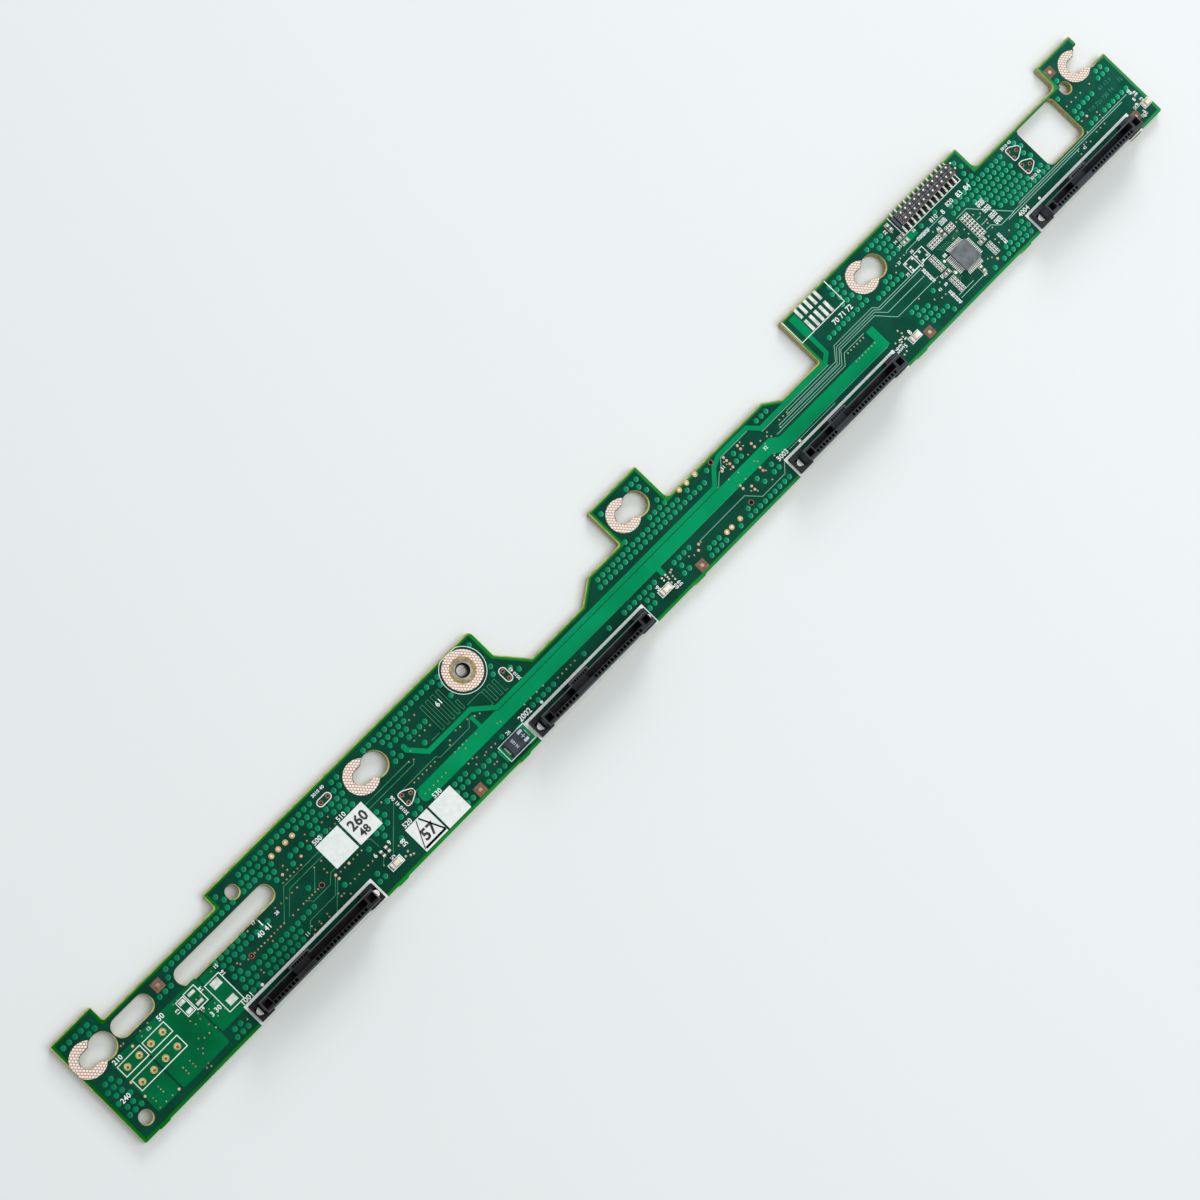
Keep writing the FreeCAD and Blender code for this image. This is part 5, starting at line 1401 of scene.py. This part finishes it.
class BACKPLANE_OT_pads(bpy.types.Operator):
    """Tinned pads, and targets of bare laminate with a coated middle"""
    bl_idname = "backplane.pads"
    bl_label = "Pads"

    def execute(self, context):
        shape = bmesh.new()
        for box in SILVER_PADS:
            plate(shape, rectangle(*box), TOP, PAD_Z + LAYER, SILVER_INSET)
        for i in range(SOCKET_PAD_COUNT):
            left = SOCKET_PAD_FIRST + i * SOCKET_PAD_PITCH
            for w0, w1 in SOCKET_PADS_W:
                plate(shape, rectangle(left, left + SOCKET_PAD_WIDTH, w0, w1), TOP, PAD_Z, SOCKET_PAD_INSET)
        for u, w in SMALL_PADS:
            plate(shape, square(u, w, SMALL_PAD_HALF), TOP, PAD_Z, SMALL_PAD_INSET)
        low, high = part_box("header_housing")
        pitch = (high.x - low.x) / HEADER_COLUMNS
        columns = [(low.x + (i + 0.5) * pitch - ZERO_X) / UNIT for i in range(HEADER_COLUMNS)]
        half = HEADER_PAD_HALF
        feet = [rectangle(u - half, u + half, *ends) for u in columns for ends in HEADER_PADS_W]
        plates("header_pads", feet, TOP, PAD_Z, "lead", SMALL_PAD_INSET)
        discs("solder_beads", SOLDER_BEADS, TOP, "bead")
        piece("tinned_pads", shape, "silver")
        bare = [square(u, w, TARGET_SIDE / 2) for u, w in TARGETS]
        plates("targets", bare, TOP, FIELD_Z, "target")
        discs("target_middles", TARGETS, TOP, "via")
        return {"FINISHED"}


class BACKPLANE_OT_header_gaps(bpy.types.Operator):
    """Painted shade on the header: dark plates between its leads and at its left end, dark frames round its
    pins, and dark lines between its columns
    """
    bl_idname = "backplane.header_gaps"
    bl_label = "Header gaps"

    def execute(self, context):
        low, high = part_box("header_housing")
        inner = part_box("header_pins_inner")
        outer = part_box("header_pins_outer")
        pitch = (high.x - low.x) / HEADER_COLUMNS
        shade_plates = bmesh.new()
        for i in range(1, HEADER_COLUMNS):
            x = low.x + i * pitch
            u0, w0 = drawing_place(Vector((x - SHADE_PLATE_SHARE * pitch, inner[0].y + SHADE_PLATE_START, 0)))
            u1, w1 = drawing_place(Vector((x + SHADE_PLATE_SHARE * pitch, low.y, 0)))
            plate(shade_plates, rectangle(u0, u1, w0, w1), TOP, TOP + SHADE_PLATE_HEIGHT)
        left, bottom = drawing_place(low)
        upper = drawing_place(high)[1]
        end = rectangle(left, left + LEFT_SHADE_WIDTH, bottom + LEFT_SHADE_MARGIN, upper - LEFT_SHADE_MARGIN)
        plate(shade_plates, end, high.z - LAYER, high.z + LAYER)
        piece("header_shades", shade_plates, "painted_header_shade")
        routes = []
        rows = (drawing_place(inner[1])[1] - SHADE_FRAME_SHIFT, drawing_place(outer[0])[1] + SHADE_FRAME_SHIFT)
        for i in range(HEADER_COLUMNS):
            u = left + (i + 0.5) * pitch / UNIT
            routes += [box_route(u - SHADE_FRAME_HALF, u + SHADE_FRAME_HALF, w - SHADE_FRAME_HALF, w + SHADE_FRAME_HALF) for w in rows]
            if i:
                between = u - 0.5 * pitch / UNIT
                routes.append([(between, bottom + SHADE_LINE_MARGIN), (between, upper - SHADE_LINE_MARGIN)])
        lines("header_slots", routes, SHADE_LINE_WIDTH, high.z, "painted_header_shade")
        return {"FINISHED"}


class BACKPLANE_OT_holes(bpy.types.Operator):
    """Plated test holes, some with dark middles of painted shade, and the bores of the power inlet with a
    painted lit wall and painted shade
    """
    bl_idname = "backplane.holes"
    bl_label = "Test holes"

    def execute(self, context):
        for name, places, inner, outer, look, middles, middle_look, slot in HOLE_KINDS:
            shape = bmesh.new()
            for u, w in places:
                ring(shape, at(u, w), inner, outer, PRINT_Z, RING_SIDES)
            piece(name, shape, look)
            discs(middles, places, TOP, middle_look)
        power = [drawing_place((low + high) / 2) for low, high in loose_boxes("plated_barrels")]
        discs("power_hole_walls", power, FIELD_Z, "painted_lit_gold")
        du, dw = POWER_SHADE_SHIFT
        shaded = [(u + du, w + dw) for u, w in power]
        discs("power_hole_shades", shaded, FIELD_Z + LAYER / 2, "gold_bore")
        return {"FINISHED"}


def oval(u0, u1, w0, w1):
    """Closed round-ended outline in a box of the drawing."""
    radius = min(u1 - u0, w1 - w0) / 2
    start = 0 if w1 - w0 > u1 - u0 else -90
    route = circle(u1 - radius, w1 - radius if start == 0 else w0 + radius, radius, 8, start, 180)
    route += circle(u0 + radius, w0 + radius, radius, 8, start + 180, 180)
    return route + route[:1]


def pear(u, w):
    """Closed rounded triangle round three test holes, whose lower left corner is at the place."""
    route = rounded([(u + du, w + dw) for du, dw in PEAR_CORNERS], PEAR_RADIUS)
    return route + route[:1]


def loose_boxes(name):
    """Lower and upper corner of every loose part of a CAD node."""
    copy = bmesh.new()
    copy.from_mesh(frame["nodes"][name].data)
    bmesh.ops.remove_doubles(copy, verts=copy.verts, dist=SAME_PART)
    seen = set()
    found = []
    for start in copy.verts:
        if start in seen:
            continue
        stack = [start]
        part = []
        seen.add(start)
        while stack:
            here = stack.pop()
            part.append(here.co.copy())
            others = {edge.other_vert(here) for edge in here.link_edges} - seen
            seen |= others
            stack += others
        found.append(tuple(Vector([limit(p[k] for p in part) for k in range(3)]) for limit in (min, max)))
    copy.free()
    return found


class BACKPLANE_OT_solder_ends(bpy.types.Operator):
    """Tinned ends and solder of the small chips, and the foil pads of the lights"""
    bl_idname = "backplane.solder_ends"
    bl_label = "Solder ends"

    def execute(self, context):
        shape = bmesh.new()
        for name, cap, foot in CHIP_ENDS:
            for low, high in loose_boxes(name):
                self.ends(shape, low, high, cap, foot)
        for i in range(RECEPTACLES):
            low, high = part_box("drive_led_%d" % i)
            foot = min(LIGHT_FOOT, BOARD_HIGH.x - high.x)
            self.ends(shape, low, Vector((high.x, high.y, TOP + LIGHT_HEIGHT)), LIGHT_CAP, foot)
        piece("solder_ends", shape, "lead")
        return {"FINISHED"}

    @staticmethod
    def ends(shape, low, high, cap, foot):
        """Sloped metal cap over each end of a chip, one layer thick."""
        k = 0 if high.x - low.x > high.y - low.y else 1
        c, d = low[1 - k] - LAYER, high[1 - k] + LAYER

        def corners(along, z):
            a, b = sorted(along)
            around = ((a, c), (b, c), (b, d), (a, d)) if k == 0 else ((c, a), (d, a), (d, b), (c, b))
            return [(x, y, z) for x, y in around]

        for end, way in ((low[k], -1), (high[k], 1)):
            inner = end - way * cap
            base = corners((inner, end + way * foot), TOP)
            block(shape, base, corners((inner, end + way * LAYER), high.z + LAYER))


class BACKPLANE_OT_tongues(bpy.types.Operator):
    """Painted glints: bright marks on the bent metal edges of the receptacles' hold-downs"""
    bl_idname = "backplane.tongues"
    bl_label = "Hold-down tongues"

    def execute(self, context):
        shape = bmesh.new()
        for i in range(RECEPTACLES):
            parts = sorted(loose_boxes("receptacle_hold_downs_%d" % i), key=lambda part: part[0].x)
            for (low, high), side in zip(parts, (1, -1)):
                u, w = drawing_place((low + high) / 2)
                moon = circle(u + side * MOON_SHIFT[0], w + MOON_SHIFT[1], MOON_RADIUS, 14, side * 90, 180)
                plate(shape, outline(moon), high.z - LAYER, high.z + 3 * LAYER)
                start, end = ((u + side * BAR_SHIFT, w + dw) for dw in BAR_ENDS)
                thick_line(shape, start, end, BAR_WIDTH, high.z - LAYER, high.z + 6 * LAYER)
        piece("hold_down_tongues", shape, "glint_paint")
        return {"FINISHED"}


def chip_frames():
    """Printed frames round the small chips at the right."""
    frames = []
    for name, side in FRAME_SIDES:
        for low, high in loose_boxes(name):
            if drawing_place(low)[0] < FRAMES_FROM:
                continue
            long_x = high.x - low.x > high.y - low.y
            grow_u = side + (FRAME_END if long_x else 0.0)
            grow_w = side + (0.0 if long_x else FRAME_END)
            u0, w0 = drawing_place(low)
            u1, w1 = drawing_place(high)
            frames.append(box_route(u0 - grow_u, u1 + grow_u, w0 - grow_w, w1 + grow_w))
    return frames


def guide_circle():
    """Printed circle round the guide bush, cut off at the board's edge."""
    low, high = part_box("guide_bush")
    u, w = drawing_place((low + high) / 2)
    places = circle(u, w - GUIDE_PRINT_DROP, GUIDE_PRINT_RADIUS, GUIDE_PRINT_SIDES)
    route = [(u, min(w, PRINT_LIMIT)) for u, w in places]
    return route + route[:1]


class BACKPLANE_OT_print(bpy.types.Operator):
    """White printed boxes, rings and small marks"""
    bl_idname = "backplane.print_lines"
    bl_label = "Printed lines"

    def execute(self, context):
        boxes = [box_route(*box) for box in PRINT_BOXES] + list(PRINT_OPEN)
        rings = [oval(*box) for box in OVALS] + [pear(*place) for place in PEARS]
        for name, routes, share in (("print_lines", boxes, 1.0), ("print_rings", rings, RING_SHARE),
                                    ("guide_ring", [guide_circle()], GUIDE_SHARE),
                                    ("chip_frames", chip_frames(), FRAME_SHARE)):
            lines(name, routes, board_sizes().print_width * share, PRINT_Z, "bright_ink")
        discs("pin_marks", PIN_MARKS, PRINT_Z - LAYER, "bright_ink")
        marks = bmesh.new()
        for start, end, width in SQUARE_MARKS:
            thick_line(marks, start, end, width, PRINT_Z, MARK_Z)
        piece("square_marks", marks, "dark_ink")
        return {"FINISHED"}


def number_piece(name, entries, z, look):
    """Piece of flat digits: text, place, letter height and turn in degrees."""
    whole = bmesh.new()
    for text, u, w, height, turn in entries:
        curve = bpy.data.curves.new(name + "_text", "FONT")
        curve.body = text
        curve.align_x = "CENTER"
        curve.align_y = "CENTER"
        curve.resolution_u = 2
        curve.offset = STROKES[name]
        carrier = bpy.data.objects.new(name + "_text", curve)
        bpy.context.scene.collection.objects.link(carrier)
        depsgraph = bpy.context.evaluated_depsgraph_get()
        flat = bpy.data.meshes.new_from_object(carrier.evaluated_get(depsgraph))
        size = Matrix.Scale(height * UNIT / CAPITAL_SHARE, 4)
        flat.transform(Matrix.Translation(at(u, w, z)) @ Matrix.Rotation(math.radians(turn), 4, "Z") @ size)
        whole.from_mesh(flat)
        bpy.data.objects.remove(carrier)
        bpy.data.curves.remove(curve)
        bpy.data.meshes.remove(flat)
    for face in whole.faces:
        if face.normal.z < 0:
            face.normal_flip()
    piece(name, whole, look)


def block_numbers():
    """Small numbers in even rows or columns that fill each block."""
    entries = []
    value = 1234
    for u0, u1, w0, w1, rows, columns in NUMBER_BLOCKS:
        upright = columns > 1
        tall = (w1 - w0) / rows
        wide = (u1 - u0) / columns
        size = BLOCK_FILL * (wide if upright else tall)
        digits = max(1, round((tall if upright else wide) / (DIGIT_SHARE * size)))
        for i in range(rows):
            for j in range(columns):
                value = (value * 7 + 391) % 9000 + 1000
                place = (u0 + (j + 0.5) * wide, w0 + (i + 0.5) * tall)
                entries.append((str(value)[:digits], *place, size, 90 if upright else 0))
    return entries


class BACKPLANE_OT_numbers(bpy.types.Operator):
    """Plain printed numbers"""
    bl_idname = "backplane.numbers"
    bl_label = "Printed numbers"

    def execute(self, context):
        number_piece("printed_numbers", NUMBERS, MARK_Z, "bright_ink")
        number_piece("small_numbers", block_numbers(), MARK_Z, "bright_ink")
        number_piece("square_numbers", DARK_NUMBERS, MARK_Z, "dark_ink")
        number_piece("faint_numbers", FAINT_NUMBERS, RIM_Z, "faint")
        return {"FINISHED"}


class BACKPLANE_OT_capacitor_marks(bpy.types.Operator):
    """Pale blocks, plus sign and plain numbers on the bulk capacitor"""
    bl_idname = "backplane.capacitor_marks"
    bl_label = "Capacitor marks"

    def execute(self, context):
        low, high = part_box("bulk_capacitor")
        u, w = drawing_place(low)
        blocks = [rectangle(u + u0, u + u1, w + w0, w + w1) for u0, u1, w0, w1 in CAPACITOR_BLOCKS]
        plates("capacitor_blocks", blocks, high.z - LAYER, high.z + LAYER, "blue_ink")
        entries = [(text, u + du, w + dw, size, turn) for text, du, dw, size, turn in CAPACITOR_NUMBERS]
        number_piece("capacitor_numbers", entries, high.z + LAYER, "blue_ink")
        return {"FINISHED"}


class BACKPLANE_OT_stage(bpy.types.Operator):
    """Pale floor, soft light and the camera"""
    bl_idname = "backplane.stage"
    bl_label = "Stage"

    def execute(self, context):
        sizes = context.scene.backplane_stage
        things = context.scene.collection.objects
        floor = bmesh.new()
        corners = [(x * FLOOR_HALF, y * FLOOR_HALF) for x, y in ((-1, -1), (1, -1), (1, 1), (-1, 1))]
        floor.faces.new([floor.verts.new((x, y, BOARD_LOW.z - FLOOR_DROP)) for x, y in corners])
        ground = bpy.data.objects.new("floor", mesh_from("floor", floor))
        things.link(ground)
        pale = opaque(sizes.floor_colour)
        ground.data.materials.append(finish("pale_floor", pale, pale, 3.0, (0.85, 0.95)))
        world = bpy.data.worlds.new("even_light")
        world.use_nodes = True
        background = world.node_tree.nodes["Background"]
        background.inputs["Color"].default_value = SKY_COLOUR
        background.inputs["Strength"].default_value = sizes.sky
        context.scene.world = world
        for name, width, place, power in LAMPS:
            lamp = bpy.data.lights.new(name, "AREA")
            lamp.shape = "RECTANGLE"
            lamp.size = width
            lamp.size_y = width
            lamp.energy = getattr(sizes, power)
            carrier = bpy.data.objects.new(name, lamp)
            carrier.location = place
            carrier.rotation_euler = (-Vector(place)).to_track_quat("-Z", "Y").to_euler()
            things.link(carrier)
        view = bpy.data.cameras.new("photo_camera")
        view.lens = sizes.lens
        view.sensor_width = SENSOR_WIDTH
        camera = bpy.data.objects.new("photo_camera", view)
        right = Vector(CAMERA_RIGHT)
        up = Vector(CAMERA_UP)
        turn = Matrix((right, up, right.cross(up))).transposed().to_4x4()
        camera.matrix_world = Matrix.Translation(CAMERA_PLACE) @ turn
        things.link(camera)
        context.scene.camera = camera
        context.scene.view_settings.view_transform = "Standard"
        return {"FINISHED"}


class BACKPLANE_PT_panel(bpy.types.Panel):
    """Buttons for each group of the board's looks"""
    bl_idname = "BACKPLANE_PT_panel"
    bl_label = "Drive backplane board"
    bl_space_type = "VIEW_3D"
    bl_region_type = "UI"
    bl_category = "Board"

    def draw(self, context):
        column = self.layout.column()
        for operator in OPERATORS:
            column.operator(operator.bl_idname)
        for group in (context.scene.backplane_sizes, context.scene.backplane_stage):
            for name in group.__annotations__:
                column.prop(group, name)


OPERATORS = (
    BACKPLANE_OT_finishes, BACKPLANE_OT_rim, BACKPLANE_OT_bus_ends, BACKPLANE_OT_fields,
    BACKPLANE_OT_fill_discs, BACKPLANE_OT_vias, BACKPLANE_OT_tracks, BACKPLANE_OT_lands,
    BACKPLANE_OT_pin_head, BACKPLANE_OT_pads, BACKPLANE_OT_header_gaps, BACKPLANE_OT_holes,
    BACKPLANE_OT_solder_ends, BACKPLANE_OT_tongues, BACKPLANE_OT_print, BACKPLANE_OT_numbers,
    BACKPLANE_OT_capacitor_marks, BACKPLANE_OT_stage,
)
CLASSES = (BoardSizes, StageSizes) + OPERATORS + (BACKPLANE_PT_panel,)


def register():
    for item in CLASSES:
        bpy.utils.register_class(item)
    bpy.types.Scene.backplane_sizes = bpy.props.PointerProperty(type=BoardSizes)
    bpy.types.Scene.backplane_stage = bpy.props.PointerProperty(type=StageSizes)


def unregister():
    del bpy.types.Scene.backplane_stage
    del bpy.types.Scene.backplane_sizes
    for item in reversed(CLASSES):
        bpy.utils.unregister_class(item)


def main():
    register()
    for operator in OPERATORS:
        group, name = operator.bl_idname.split(".")
        getattr(getattr(bpy.ops, group), name)()


if __name__ == "__main__":
    main()
